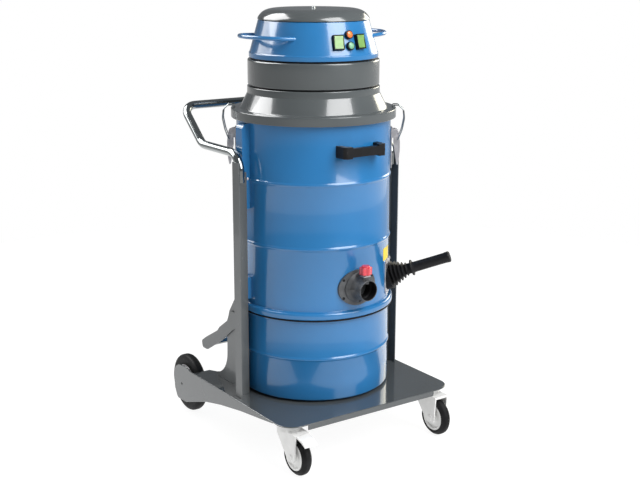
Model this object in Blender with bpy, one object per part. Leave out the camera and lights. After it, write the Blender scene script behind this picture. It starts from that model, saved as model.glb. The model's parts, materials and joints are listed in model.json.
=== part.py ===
"""Two-motor industrial shop vacuum on a wheeled trolley.

Metres, +Z up, standing on z = 0 with its front (inlet, switches, drum handle)
towards -Y.  Everything is laid out about the drum's vertical axis, and one
empty carries that layout so that the world origin is the bottom centre of the
object's box.
"""

import math

import bmesh
import bpy
from mathutils import Matrix, Vector

# ---------------------------------------------------------------- dimensions

GAP = 0.0003                     # clearance between pieces that touch
AXIS_Y = -0.0145                 # drum axis, from the centre of the object's box

DRUM_SIDES = 32                  # facets round the drum and everything coaxial
DRUM_R = 0.200
DRUM_WALL = 0.002
BEAD_HEIGHT = 0.012
BEAD_PROUD = 0.0028

PLATE_TOP = 0.132
PLATE_T = 0.003
PLATE_HALF_X = 0.2650
CHEEK_OUT_X = 0.2657
CHEEK_T = 0.003
PLATE_FRONT_Y = -0.2733
PLATE_REAR_Y = 0.165
PLATE_WHEEL_Y = 0.198
PLATE_CORNER_R = 0.048
FLANGE_DROP = 0.016

AXLE_Y, AXLE_Z, AXLE_R = 0.267, 0.080, 0.008
AXLE_STUD_R = 0.0030              # where the axle passes through a cheek
REAR_WHEEL_R = 0.080
REAR_HUB_R = 0.052
REAR_WHEEL_X = 0.238
REAR_WHEEL_HALF_W = 0.015

SWIVEL_X, SWIVEL_Y = 0.222, -0.222
CASTER_TRAIL = 0.036
CASTER_R = 0.050
CASTER_RIM_R = 0.0365
CASTER_HALF_W = 0.0140
FORK_TOP_Z = PLATE_TOP - PLATE_T - GAP

CONTAINER_BOTTOM = 0.1370
CONTAINER_TOP = 0.3522
CONTAINER_BEAD_Z = 0.2490

CHAMBER_BOTTOM = 0.3560
CHAMBER_TOP = 0.8600
CHAMBER_RING_R = 0.2110
CHAMBER_RING_TOP = 0.3740
CHAMBER_BEADS_Z = (0.5377, 0.7006)

RIM_R = 0.2132
RIM_BOTTOM, RIM_TOP = 0.8474, 0.8700
SKIRT_TOP = 0.9270
RING_R = 0.1692
RING_BOTTOM, RING_TOP = 0.9308, 0.9950
HOUSING_BOTTOM, HOUSING_TOP = 0.9988, 1.0920
HOUSING_BAND_TOP = 1.0120
HOUSING_LOW_R, HOUSING_HIGH_R = 0.1635, 0.1413
HOUSING_WALL = 0.003
CAP_BOTTOM, CAP_TOP = 1.0935, 1.1202

UPRIGHT_OUT_X = 0.2515
UPRIGHT_IN_X = 0.2120
UPRIGHT_FRONT_Y, UPRIGHT_REAR_Y = -0.0415, -0.0105
UPRIGHT_T = 0.0025
UPRIGHT_TOP = 0.752
WEB_TOP = 0.722
GUSSET_T = 0.003
GUSSET_TOP = 0.384

BRACKET_OUT_X = 0.2220
BRACKETS_Z = ((0.390, 0.4466), (0.627, 0.843))

HANDLE_TUBE_R, HANDLE_TUBE_WALL = 0.011, 0.0015
HANDLE_X, HANDLE_LEG_Y = 0.2375, -0.0248
HANDLE_FOOT_Z, HANDLE_RUN_Z = 0.700, 0.771
HANDLE_KNEE_Y = 0.165
HANDLE_BAR_Y, HANDLE_BAR_Z = 0.268, 0.860

LEVER_PIVOT = (0.052, 0.315)     # (y, z) of the lift lever's pivot
LEVER_ARM_T = 0.004
LEVER_BAR = (0.2175, 0.204)
LEVER_BAR_R = 0.010
CAM_R, CAM_OFFSET = 0.013, 0.007

INLET_Z = 0.4335
INLET_MOUTH_Y = -0.247
INLET_R_OUT, INLET_BORE_R = 0.027, 0.0225

SHAKER_AZ = math.radians(44.5)
SHAKER_Z = 0.429
SHAKER_TILT = math.radians(20.0)

LATCH_AZ = {"right": math.radians(55.0), "left": math.radians(-125.0)}
LATCH_AXIS = (0.2160, 0.8030)    # (distance from the drum axis, z)
LATCH_BAIL_AXIS = (0.2190, 0.7860)

BOW_CENTRE_X, BOW_R, BOW_Z, BOW_BAR_R = 0.112, 0.0921, 1.052, 0.005
BOW_RISE = 0.004                  # how much higher a bow is at its outer end

SIDE = Matrix(((0, 0, 1, 0), (1, 0, 0, 0), (0, 1, 0, 0), (0, 0, 0, 1)))
FRONT = Matrix(((1, 0, 0, 0), (0, 0, -1, 0), (0, 1, 0, 0), (0, 0, 0, 1)))

# ------------------------------------------------------------------- helpers

for old in list(bpy.data.objects):
    bpy.data.objects.remove(old, do_unlink=True)

ROOT = bpy.data.objects.new("drum_axis", None)
ROOT.location = (0, AXIS_Y, 0)
bpy.context.scene.collection.objects.link(ROOT)


def material(name, colour, roughness, metallic=0.0):
    """A Principled material with one colour."""
    made = bpy.data.materials.new(name)
    made.use_nodes = True
    shader = made.node_tree.nodes["Principled BSDF"]
    shader.inputs["Base Color"].default_value = (*colour, 1)
    shader.inputs["Roughness"].default_value = roughness
    shader.inputs["Metallic"].default_value = metallic
    return made


BLUE = material("blue_enamel", (0.07, 0.23, 0.51), 0.18)
GREY = material("grey_enamel", (0.105, 0.12, 0.13), 0.22)
STEEL = material("painted_steel", (0.17, 0.19, 0.20), 0.3)
CHROME = material("chromed_tube", (0.55, 0.56, 0.57), 0.12, 1.0)
ZINC = material("zinc_plate", (0.55, 0.53, 0.55), 0.35, 1.0)
CAST = material("cast_iron", (0.12, 0.12, 0.12), 0.5, 0.6)
RUBBER = material("black_rubber", (0.02, 0.02, 0.02), 0.6)
PLASTIC = material("black_plastic", (0.02, 0.02, 0.022), 0.4)
NYLON = material("pale_nylon", (0.62, 0.63, 0.62), 0.4)
RED = material("red_plastic", (0.6, 0.06, 0.07), 0.3)
GREEN = material("green_rocker", (0.3, 0.52, 0.12), 0.2)
AMBER = material("amber_lens", (0.85, 0.25, 0.05), 0.15)
CLOTH = material("filter_cloth", (0.75, 0.74, 0.7), 0.9)
COPPER = material("motor_winding", (0.45, 0.2, 0.1), 0.5, 0.7)


def add_object(name, bm, finish, origin=(0, 0, 0)):
    """Turn a bmesh into an object whose origin is at a point of the layout."""
    bmesh.ops.translate(bm, verts=bm.verts, vec=-Vector(origin))
    mesh = bpy.data.meshes.new(name)
    bm.to_mesh(mesh)
    bm.free()
    mesh.shade_smooth()
    mesh.set_sharp_from_angle(angle=math.radians(35))
    mesh.materials.append(finish)
    made = bpy.data.objects.new(name, mesh)
    made.parent = ROOT
    made.location = origin
    bpy.context.scene.collection.objects.link(made)
    return made


def tool(obj, bm, operation):
    """Cut from, add to or intersect an object with another shape."""
    guide = add_object(f"{obj.name}_tool_{len(obj.modifiers)}", bm, STEEL)
    guide.hide_render = True
    guide.display_type = "WIRE"
    step = obj.modifiers.new(operation.lower(), "BOOLEAN")
    step.operation = operation
    step.solver = "EXACT"
    step.object = guide
    return guide


def cut(obj, bm):
    tool(obj, bm, "DIFFERENCE")


def join(obj, bm):
    tool(obj, bm, "UNION")


def keep(obj, bm):
    tool(obj, bm, "INTERSECT")


def turned(profile, sides, ring=False, place=None):
    """Spin (radius, height) points about +Z.  A ring profile closes on itself."""
    bm = bmesh.new()
    verts = [bm.verts.new((radius, 0, height)) for radius, height in profile]
    edges = [bm.edges.new(pair) for pair in zip(verts, verts[1:])]
    if ring:
        edges.append(bm.edges.new((verts[-1], verts[0])))
    bmesh.ops.spin(bm, geom=verts + edges, cent=(0, 0, 0), axis=(0, 0, 1),
                   angle=math.tau, steps=sides, use_merge=True)
    bmesh.ops.remove_doubles(bm, verts=bm.verts, dist=1e-6)
    if not ring:
        bmesh.ops.holes_fill(bm, edges=[e for e in bm.edges if e.is_boundary], sides=0)
    bmesh.ops.recalc_face_normals(bm, faces=bm.faces)
    if place:
        bmesh.ops.transform(bm, matrix=place, verts=bm.verts)
    return bm


def prism(outline, start, end, place=None):
    """Extrude an outline in the local XY plane from z = start to z = end."""
    bm = bmesh.new()
    face = bm.faces.new([bm.verts.new((x, y, start)) for x, y in outline])
    made = bmesh.ops.extrude_face_region(bm, geom=[face])
    moved = [item for item in made["geom"] if isinstance(item, bmesh.types.BMVert)]
    bmesh.ops.translate(bm, verts=moved, vec=(0, 0, end - start))
    if place:
        bmesh.ops.transform(bm, matrix=place, verts=bm.verts)
    bmesh.ops.recalc_face_normals(bm, faces=bm.faces)
    return bm


def box(low, high, place=None):
    """A block between two corners."""
    bm = bmesh.new()
    size = Vector(high) - Vector(low)
    centre = (Vector(high) + Vector(low)) / 2
    bmesh.ops.create_cube(bm, size=1, matrix=Matrix.Translation(centre) @ Matrix.Diagonal((*size, 1)))
    if place:
        bmesh.ops.transform(bm, matrix=place, verts=bm.verts)
    return bm


def rod(radius, start, end, sides, place=None):
    """A round bar along local Z."""
    return turned([(radius, start), (radius, end)], sides, place=place)


def rounded(corners, steps=4):
    """An outline whose (x, y, radius) corners are replaced by arcs."""
    outline = []
    count = len(corners)
    for index, (x, y, radius) in enumerate(corners):
        here = Vector((x, y))
        if radius <= 0:
            outline.append((x, y))
            continue
        back = (Vector(corners[index - 1][:2]) - here).normalized()
        ahead = (Vector(corners[(index + 1) % count][:2]) - here).normalized()
        half = back.angle(ahead) / 2
        centre = here + (back + ahead).normalized() * (radius / math.sin(half))
        first = here + back * (radius / math.tan(half)) - centre
        last = here + ahead * (radius / math.tan(half)) - centre
        sweep = first.angle_signed(last)
        for step in range(steps + 1):
            turn = Matrix.Rotation(-sweep * step / steps, 2)
            outline.append(tuple(centre + turn @ first))
    return outline


def circle(radius, sides, centre=(0, 0), squash=1.0):
    """Points round a circle, or an ellipse squashed in y."""
    return [(centre[0] + radius * math.cos(math.tau * i / sides),
             centre[1] + radius * squash * math.sin(math.tau * i / sides)) for i in range(sides)]


def bent(corners, steps=4):
    """A 3-D path through corners, each rounded by its own radius."""
    path = [Vector(corners[0][:3])]
    for before, here, after in zip(corners, corners[1:], corners[2:]):
        point, radius = Vector(here[:3]), here[3]
        back = (Vector(before[:3]) - point).normalized()
        ahead = (Vector(after[:3]) - point).normalized()
        half = back.angle(ahead) / 2
        centre = point + (back + ahead).normalized() * (radius / math.sin(half))
        first = (point + back * (radius / math.tan(half)) - centre).normalized()
        last = (point + ahead * (radius / math.tan(half)) - centre).normalized()
        for step in range(steps + 1):
            path.append(centre + radius * first.slerp(last, step / steps))
    path.append(Vector(corners[-1][:3]))
    return path


def swept(path, radius, sides, bore=0.0):
    """A bar or tube along a path, with flat ends."""
    bm = bmesh.new()
    tangents = []
    for index in range(len(path)):
        before, after = path[max(index - 1, 0)], path[min(index + 1, len(path) - 1)]
        tangents.append((after - before).normalized())
    side = tangents[0].orthogonal().normalized()
    skins = {size: [] for size in ((radius, bore) if bore else (radius,))}
    for point, tangent in zip(path, tangents):
        side = (side - tangent * side.dot(tangent)).normalized()
        up = tangent.cross(side)
        for size, rings in skins.items():
            turns = [math.tau * i / sides for i in range(sides)]
            rings.append([bm.verts.new(point + size * (math.cos(a) * side + math.sin(a) * up))
                          for a in turns])
    for rings in skins.values():
        for low, high in zip(rings, rings[1:]):
            for i in range(sides):
                j = (i + 1) % sides
                bm.faces.new((low[i], low[j], high[j], high[i]))
    for end in (0, -1):
        outer = skins[radius][end]
        if bore:
            inner = skins[bore][end]
            for i in range(sides):
                j = (i + 1) % sides
                bm.faces.new((outer[i], outer[j], inner[j], inner[i]))
        else:
            bm.faces.new(outer)
    bmesh.ops.recalc_face_normals(bm, faces=bm.faces)
    return bm


def drum_skin(radius):
    """A tall solid drum, for trimming whatever lies against the drum's facets."""
    return rod(radius, 0.1, 1.0, DRUM_SIDES)


def about_axis(azimuth):
    """Turn from the front of the drum to an azimuth, positive towards +X."""
    return Matrix.Rotation(azimuth, 4, "Z")


def housing_radius(height):
    """Outer radius of the motor housing's cone."""
    share = (height - HOUSING_BAND_TOP) / (HOUSING_TOP - HOUSING_BAND_TOP)
    return HOUSING_LOW_R + share * (HOUSING_HIGH_R - HOUSING_LOW_R)


HOUSING_LEAN = math.atan((HOUSING_LOW_R - HOUSING_HIGH_R) / (HOUSING_TOP - HOUSING_BAND_TOP))


def on_housing(azimuth, height):
    """Local x along the housing, y up its slope and z out of it."""
    to_surface = Matrix.Translation((0, -housing_radius(height), height))
    return about_axis(azimuth) @ to_surface @ Matrix.Rotation(math.pi / 2 - HOUSING_LEAN, 4, "X")


# ------------------------------------------------------------------- trolley

def cheek_outline():
    """Side cheek in (y, z): a long taper to the front and a lobe round the axle."""
    top = PLATE_TOP - 0.0004
    return rounded([(-0.2100, top, 0), (-0.2100, 0.1276, 0), (-0.1600, 0.1206, 0), (-0.0540, 0.1070, 0),
                    (0.0500, 0.0890, 0), (0.1330, 0.0700, 0.15), (0.2450, 0.0320, 0.0),
                    (0.2950, 0.0300, 0.014), (0.3110, 0.0600, 0.03), (0.3080, 0.1180, 0.02),
                    (0.2800, 0.1345, 0.02), (0.2450, 0.1370, 0.02), (0.2200, top, 0)])


def make_trolley():
    half = [(0, PLATE_REAR_Y, 0), (-0.196, PLATE_REAR_Y, 0.004), (-0.214, PLATE_WHEEL_Y, 0.004),
            (-PLATE_HALF_X, PLATE_WHEEL_Y, 0), (-PLATE_HALF_X, PLATE_FRONT_Y, PLATE_CORNER_R)]
    other = [(-x, y, radius) for x, y, radius in reversed(half[1:])]
    base = add_object("base_plate", prism(rounded(half[1:] + other, 6), PLATE_TOP - PLATE_T, PLATE_TOP), STEEL)
    for sign in (-1, 1):
        near, far = sorted((sign * CHEEK_OUT_X, sign * (CHEEK_OUT_X - CHEEK_T)))
        join(base, prism(cheek_outline(), near, far, SIDE))
    inset = 0.0004
    join(base, box((-0.200, PLATE_FRONT_Y + inset, PLATE_TOP - FLANGE_DROP),
                   (0.200, PLATE_FRONT_Y + inset + PLATE_T, PLATE_TOP - PLATE_T / 2)))
    join(base, box((-0.190, PLATE_REAR_Y - inset - PLATE_T, PLATE_TOP - FLANGE_DROP),
                   (0.190, PLATE_REAR_Y - inset, PLATE_TOP - PLATE_T / 2)))
    across = Matrix.Translation((0, AXLE_Y, AXLE_Z)) @ SIDE
    cut(base, rod(AXLE_STUD_R + GAP, -0.3, 0.3, 12, across))
    shoulder, tip = CHEEK_OUT_X - CHEEK_T - GAP, CHEEK_OUT_X - GAP
    stepped = [(AXLE_STUD_R, -tip), (AXLE_STUD_R, -shoulder), (AXLE_R, -shoulder), (AXLE_R, shoulder),
               (AXLE_STUD_R, shoulder), (AXLE_STUD_R, tip)]
    add_object("rear_axle", turned(stepped, 16, place=across), CHROME)


def wheel_rim(bore, outer, half_width):
    """Turned rim section: a hub boss, a thin web and a tyre seat."""
    boss = bore + 0.012
    lip = outer - 0.006
    return [(bore, -half_width), (boss, -half_width), (boss, -0.004), (lip, -0.004), (lip, -half_width + 0.002),
            (outer, -half_width + 0.002), (outer, half_width - 0.002), (lip, half_width - 0.002),
            (lip, 0.004), (boss, 0.004), (boss, half_width), (bore, half_width)]


def tyre_section(inner, outer, half_width, shoulder):
    """Tyre section with a flat tread and rounded shoulders."""
    return [(inner, -half_width), (outer - shoulder, -half_width), (outer - 0.3 * shoulder, -half_width + 0.3 * shoulder),
            (outer, -half_width + shoulder), (outer, half_width - shoulder),
            (outer - 0.3 * shoulder, half_width - 0.3 * shoulder), (outer - shoulder, half_width), (inner, half_width)]


def make_rear_wheels():
    for name, sign in (("left", -1), ("right", 1)):
        centre = (sign * REAR_WHEEL_X, AXLE_Y, AXLE_Z)
        place = Matrix.Translation(centre) @ SIDE
        add_object(f"rear_hub_{name}", turned(wheel_rim(AXLE_R + GAP, REAR_HUB_R, REAR_WHEEL_HALF_W + 0.002),
                                              24, True, place), ZINC, centre)
        add_object(f"rear_tyre_{name}", turned(tyre_section(REAR_HUB_R + GAP, REAR_WHEEL_R, REAR_WHEEL_HALF_W, 0.006),
                                               32, True, place), RUBBER, centre)


def make_casters():
    wheel_y = SWIVEL_Y - CASTER_TRAIL
    blade = rounded([(SWIVEL_Y + 0.026, 0.1115, 0), (SWIVEL_Y - 0.058, 0.1115, 0), (wheel_y - 0.016, 0.036, 0.014),
                     (wheel_y + 0.013, 0.036, 0.014), (SWIVEL_Y + 0.026, 0.096, 0.01)])
    for name, sign in (("left", -1), ("right", 1)):
        x = sign * SWIVEL_X
        swivel = (x, SWIVEL_Y, FORK_TOP_Z)
        fork = add_object(f"caster_fork_{name}", rod(0.0315, 0.1100, FORK_TOP_Z, 20,
                                                     Matrix.Translation((x, SWIVEL_Y, 0))), NYLON, swivel)
        join(fork, box((x - 0.0215, wheel_y - 0.022, 0.1062), (x + 0.0215, SWIVEL_Y + 0.027, 0.1125)))
        for offset in (-0.0215, 0.0180):
            join(fork, prism(blade, x + offset, x + offset + 0.0035, SIDE))
        hub = Matrix.Translation((0, wheel_y, CASTER_R)) @ SIDE
        join(fork, rod(0.004, x - 0.0195, x + 0.0195, 12, hub))
        centre = (x, wheel_y, CASTER_R)
        place = Matrix.Translation(centre) @ SIDE
        add_object(f"caster_rim_{name}", turned(wheel_rim(0.004 + GAP, CASTER_RIM_R, 0.0165),
                                                24, True, place), NYLON, centre)
        add_object(f"caster_tyre_{name}", turned(tyre_section(CASTER_RIM_R + GAP, CASTER_R, CASTER_HALF_W, 0.007),
                                                 24, True, place), RUBBER, centre)
    x = -SWIVEL_X
    pedal = rounded([(-0.2805, 0.1125, 0), (-0.3000, 0.1085, 0.01), (-0.3170, 0.0985, 0), (-0.3180, 0.0935, 0),
                     (-0.3000, 0.1020, 0.01), (-0.2805, 0.1065, 0)], 2)
    brake = add_object("caster_brake_pedal", prism(pedal, x - 0.019, x + 0.019, SIDE), NYLON, (x, -0.2815, 0.1095))
    shoe = [(-0.2860, 0.1090), (-0.2860, 0.0985), (-0.2960, 0.0955), (-0.2960, 0.1060)]
    join(brake, prism(shoe, x - 0.012, x + 0.012, SIDE))


# --------------------------------------------------- uprights, handle, lever

def make_uprights():
    gusset = [(UPRIGHT_REAR_Y - 0.0008, PLATE_TOP + GAP), (0.150, PLATE_TOP + GAP)]
    scoop_y, scoop_z, scoop_r = 0.168, 0.2130, 0.0735
    for step in range(9):
        turn = math.radians(258 - step * 10.0)
        gusset.append((scoop_y + scoop_r * math.cos(turn), scoop_z + scoop_r * math.sin(turn)))
    gusset += [(0.0930, 0.262), (0.0800, 0.300), (0.0870, 0.316), (0.0800, 0.335), (0.0450, GUSSET_TOP),
               (UPRIGHT_REAR_Y - 0.0008, GUSSET_TOP)]
    for name, sign in (("left", -1), ("right", 1)):
        outer = sorted((sign * UPRIGHT_OUT_X, sign * (UPRIGHT_OUT_X - UPRIGHT_T)))
        body = add_object(f"upright_{name}", box((outer[0], UPRIGHT_FRONT_Y, PLATE_TOP + GAP),
                                                 (outer[1], UPRIGHT_REAR_Y, UPRIGHT_TOP)), STEEL)
        web = sorted((sign * (UPRIGHT_OUT_X - UPRIGHT_T / 2), sign * UPRIGHT_IN_X))
        join(body, box((web[0], UPRIGHT_REAR_Y - UPRIGHT_T, PLATE_TOP + GAP), (web[1], UPRIGHT_REAR_Y - 1e-4, WEB_TOP)))
        plate = sorted((sign * (UPRIGHT_IN_X + 1e-4), sign * (UPRIGHT_IN_X + GUSSET_T)))
        join(body, prism(gusset, plate[0], plate[1], SIDE))
        cut(body, rod(0.0063, -0.3, 0.3, 16, Matrix.Translation((0, *LEVER_PIVOT)) @ SIDE))


def make_push_handle():
    side = [(HANDLE_X, HANDLE_LEG_Y, HANDLE_FOOT_Z), (HANDLE_X, HANDLE_LEG_Y, HANDLE_RUN_Z, 0.045),
            (HANDLE_X, HANDLE_KNEE_Y, HANDLE_RUN_Z, 0.040), (HANDLE_X, HANDLE_BAR_Y, HANDLE_BAR_Z, 0.036)]
    mirror = [(-corner[0], *corner[1:]) for corner in reversed(side)]
    add_object("push_handle", swept(bent(side + mirror, 4), HANDLE_TUBE_R, 12,
                                    HANDLE_TUBE_R - HANDLE_TUBE_WALL), CHROME)


def make_lift_lever():
    arm = rounded([(0.030, 0.302, 0.008), (0.040, 0.338, 0.008), (0.070, 0.338, 0.008), (0.086, 0.306, 0),
                   (0.128, 0.277, 0), (0.140, 0.264, 0), (0.204, 0.2275, 0.006), (0.2290, 0.2110, 0.008),
                   (0.2240, 0.1920, 0.008), (0.1980, 0.1930, 0.01), (0.120, 0.240, 0), (0.060, 0.286, 0.01)], 3)
    pivot = (0, *LEVER_PIVOT)
    turning = Matrix.Translation(pivot) @ SIDE
    reach = UPRIGHT_IN_X + GUSSET_T + GAP
    lever = add_object("lift_lever", rod(LEVER_BAR_R, -reach - LEVER_ARM_T / 2, reach + LEVER_ARM_T / 2, 14,
                                         Matrix.Translation((0, *LEVER_BAR)) @ SIDE), CHROME, pivot)
    for sign in (-1, 1):
        plate = sorted((sign * reach, sign * (reach + LEVER_ARM_T)))
        join(lever, prism(arm, plate[0], plate[1], SIDE))
        boss = sorted((sign * (reach + LEVER_ARM_T / 2), sign * (UPRIGHT_IN_X - 0.004)))
        join(lever, rod(0.006, boss[0], boss[1], 16, turning))
        cam = sorted((sign * (UPRIGHT_IN_X - GAP), sign * 0.2047))
        join(lever, rod(CAM_R, cam[0], cam[1], 16, Matrix.Translation((0, 0, CAM_OFFSET)) @ turning))


def make_cradle():
    """Ring and two side straps that carry the container on the lever's cams."""
    low, high = 0.1346, 0.1366
    front, back = 0.040, 0.064
    strap_in, strap_out, lug_out = 0.2012, 0.2042, 0.2112
    lug_low, lug_high = 0.3362, 0.3392
    ring = [(0.130, low), (0.165, low), (0.165, high), (0.130, high)]
    cradle = add_object("lift_cradle", turned(ring, DRUM_SIDES, True), ZINC)
    join(cradle, box((-strap_out, front, low + 1e-4), (strap_out, back, high - 1e-4)))
    for sign in (-1, 1):
        strap = sorted((sign * strap_in, sign * strap_out))
        join(cradle, box((strap[0], front + 1e-4, low), (strap[1], back - 1e-4, lug_high)))
        lug = sorted((sign * (strap_in + 1e-3), sign * lug_out))
        join(cradle, box((lug[0], front, lug_low), (lug[1], back, lug_high - 1e-4)))


# ------------------------------------------------------- container, chamber

def bead(centre):
    """Rolled bead on the drum wall, low to high."""
    half, flat = BEAD_HEIGHT / 2, BEAD_HEIGHT / 6
    proud = DRUM_R + BEAD_PROUD
    return [(DRUM_R, centre - half), (proud, centre - flat), (proud, centre + flat), (DRUM_R, centre + half)]


def make_container():
    inside = DRUM_R - DRUM_WALL
    outer = [(0.192, CONTAINER_BOTTOM), (DRUM_R - 0.001, CONTAINER_BOTTOM), (DRUM_R, CONTAINER_BOTTOM + 0.003)]
    lip = [(DRUM_R, CONTAINER_TOP - 0.007), (0.2045, CONTAINER_TOP - 0.005), (0.2045, CONTAINER_TOP),
           (inside, CONTAINER_TOP), (inside, CONTAINER_BOTTOM + 0.006), (0.192, CONTAINER_BOTTOM + 0.003)]
    add_object("container", turned(outer + bead(CONTAINER_BEAD_Z) + lip, DRUM_SIDES), BLUE)


def make_chamber():
    inside = DRUM_R - DRUM_WALL
    wall = [(inside, CHAMBER_BOTTOM), (CHAMBER_RING_R, CHAMBER_BOTTOM), (CHAMBER_RING_R, CHAMBER_RING_TOP),
            (DRUM_R, CHAMBER_RING_TOP + 0.001)]
    for centre in CHAMBER_BEADS_Z:
        wall += bead(centre)
    wall += [(DRUM_R, CHAMBER_TOP), (inside, CHAMBER_TOP)]
    chamber = add_object("filter_chamber", turned(wall, DRUM_SIDES, True), BLUE)
    for sign in (-1, 1):
        ends = sorted((sign * BRACKET_OUT_X, sign * (DRUM_R - 0.0014)))
        for low, high in BRACKETS_Z:
            join(chamber, box((ends[0], UPRIGHT_REAR_Y + 0.0005, low), (ends[1], 0.020, high)))
    cut(chamber, rod(0.0253, 0.15, 0.25, 24, Matrix.Translation((0, 0, INLET_Z)) @ FRONT))
    cut(chamber, rod(0.0150, 0.15, 0.25, 16, about_axis(SHAKER_AZ) @ Matrix.Translation((0, 0, SHAKER_Z)) @ FRONT))


def gasket(name, inner, outer, low, high):
    add_object(name, turned([(inner, low), (outer, low), (outer, high), (inner, high)], DRUM_SIDES, True), RUBBER)


def make_drum_handle():
    low, high = 0.770, 0.799
    outline = rounded([(-0.0630, -0.180, 0), (-0.0630, -0.2300, 0.008), (0.0630, -0.2300, 0.008), (0.0630, -0.180, 0),
                       (0.0470, -0.180, 0), (0.0470, -0.2180, 0.006), (-0.0470, -0.2180, 0.006),
                       (-0.0470, -0.180, 0)], 3)
    handle = add_object("drum_handle", prism(outline, low, high), PLASTIC)
    cut(handle, drum_skin(DRUM_R + GAP))


def saddle(name, outline, azimuth, height, thickness, finish):
    """A flange plate that follows the drum's facets."""
    place = about_axis(azimuth) @ Matrix.Translation((0, 0, height)) @ FRONT
    plate = add_object(name, prism(outline, 0.170, 0.225, place), finish)
    keep(plate, drum_skin(DRUM_R + GAP + thickness))
    return plate


def make_inlet():
    nozzle = saddle("inlet_nozzle", circle(0.0575, 28, squash=0.81), 0, INLET_Z, 0.005, CAST)
    place = Matrix.Translation((0, 0, INLET_Z)) @ FRONT
    mouth = -INLET_MOUTH_Y
    neck = [(0.0410, 0.190), (0.0410, 0.2045), (0.0320, 0.2130), (0.0290, 0.2210), (INLET_R_OUT, 0.2225),
            (INLET_R_OUT, mouth)]
    join(nozzle, turned(neck, 24, place=place))
    cut(nozzle, drum_skin(DRUM_R + GAP))
    join(nozzle, rod(0.0250, 0.186, 0.206, 24, place))
    join(nozzle, rod(0.0090, 0.450, 0.4680, 12, Matrix.Translation((0, -0.233, 0))))
    cut(nozzle, turned([(INLET_BORE_R, 0.18), (INLET_BORE_R, 0.2230), (0.0250, 0.2255), (0.0250, 0.26)], 24, place=place))
    stem = (0, -0.233, 0.4683)
    add_object("valve_body", prism(circle(0.0115, 6), 0.4683, 0.4735, Matrix.Translation((0, -0.233, 0))), ZINC, stem)
    lobes = []
    for point in range(12):
        reach = 0.0165 if point % 2 else 0.0135
        turn = math.tau * point / 12
        lobes.append((reach * math.cos(turn), reach * math.sin(turn)))
    add_object("valve_knob", prism(lobes, 0.4738, 0.4970, Matrix.Translation((0, -0.233, 0))), RED, (0, -0.233, 0.4738))


def make_shaker():
    """Filter shaker: a lever through a rubber boot in the chamber's wall."""
    height = 0.431
    outline = rounded([(-0.034, -0.046, 0.008), (0.034, -0.046, 0.008), (0.034, 0.046, 0.008),
                       (-0.034, 0.046, 0.008)], 3)
    flange = saddle("shaker_flange", outline, SHAKER_AZ, height, 0.003, ZINC)
    cut(flange, drum_skin(DRUM_R + GAP))
    cut(flange, rod(0.0160, 0.15, 0.25, 16, about_axis(SHAKER_AZ) @ Matrix.Translation((0, 0, SHAKER_Z)) @ FRONT))
    pivot = about_axis(SHAKER_AZ) @ Vector((0, -DRUM_R, SHAKER_Z))
    place = (Matrix.Translation(pivot) @ about_axis(SHAKER_AZ) @ FRONT
             @ Matrix.Rotation(-SHAKER_TILT, 4, "X"))
    folds = [(0.0380, 0.0132), (0.0323, 0.0259), (0.0260, 0.0407), (0.0200, 0.0520)]
    valleys = [(0.0280, 0.0196), (0.0225, 0.0333), (0.0170, 0.0464)]
    section = [(0.0300, -0.006), (0.0380, -0.006), (0.0380, 0.0100)]
    for (crest_r, crest_s), (valley_r, valley_s) in zip(folds, valleys):
        section += [(crest_r, crest_s), (valley_r, valley_s)]
    section += [folds[-1], (0.0145, 0.0570), (0.0145, 0.0668), (0.0070, 0.0668), (0.0070, 0.0570), (0.0140, 0.040)]
    boot = add_object("shaker_boot", turned(section, 20, True, place), RUBBER, pivot)
    cut(boot, drum_skin(DRUM_R + GAP + 0.003 + GAP))
    lever = [(0.0060, -0.040), (0.0060, -0.007), (0.0090, -0.003), (0.0090, 0.003), (0.0060, 0.007), (0.0060, 0.148)]
    add_object("shaker_lever", turned(lever, 12, place=place), ZINC, pivot)
    grip = [(0.0063, 0.149), (0.0063, 0.0673), (0.0215, 0.0673), (0.0215, 0.0705), (0.0140, 0.0740), (0.0135, 0.120),
            (0.0140, 0.164), (0.0150, 0.1720), (0.0130, 0.1735)]
    add_object("shaker_grip", turned(grip, 18, place=place), PLASTIC, pivot)


# -------------------------------------------------------------- head latches

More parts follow.
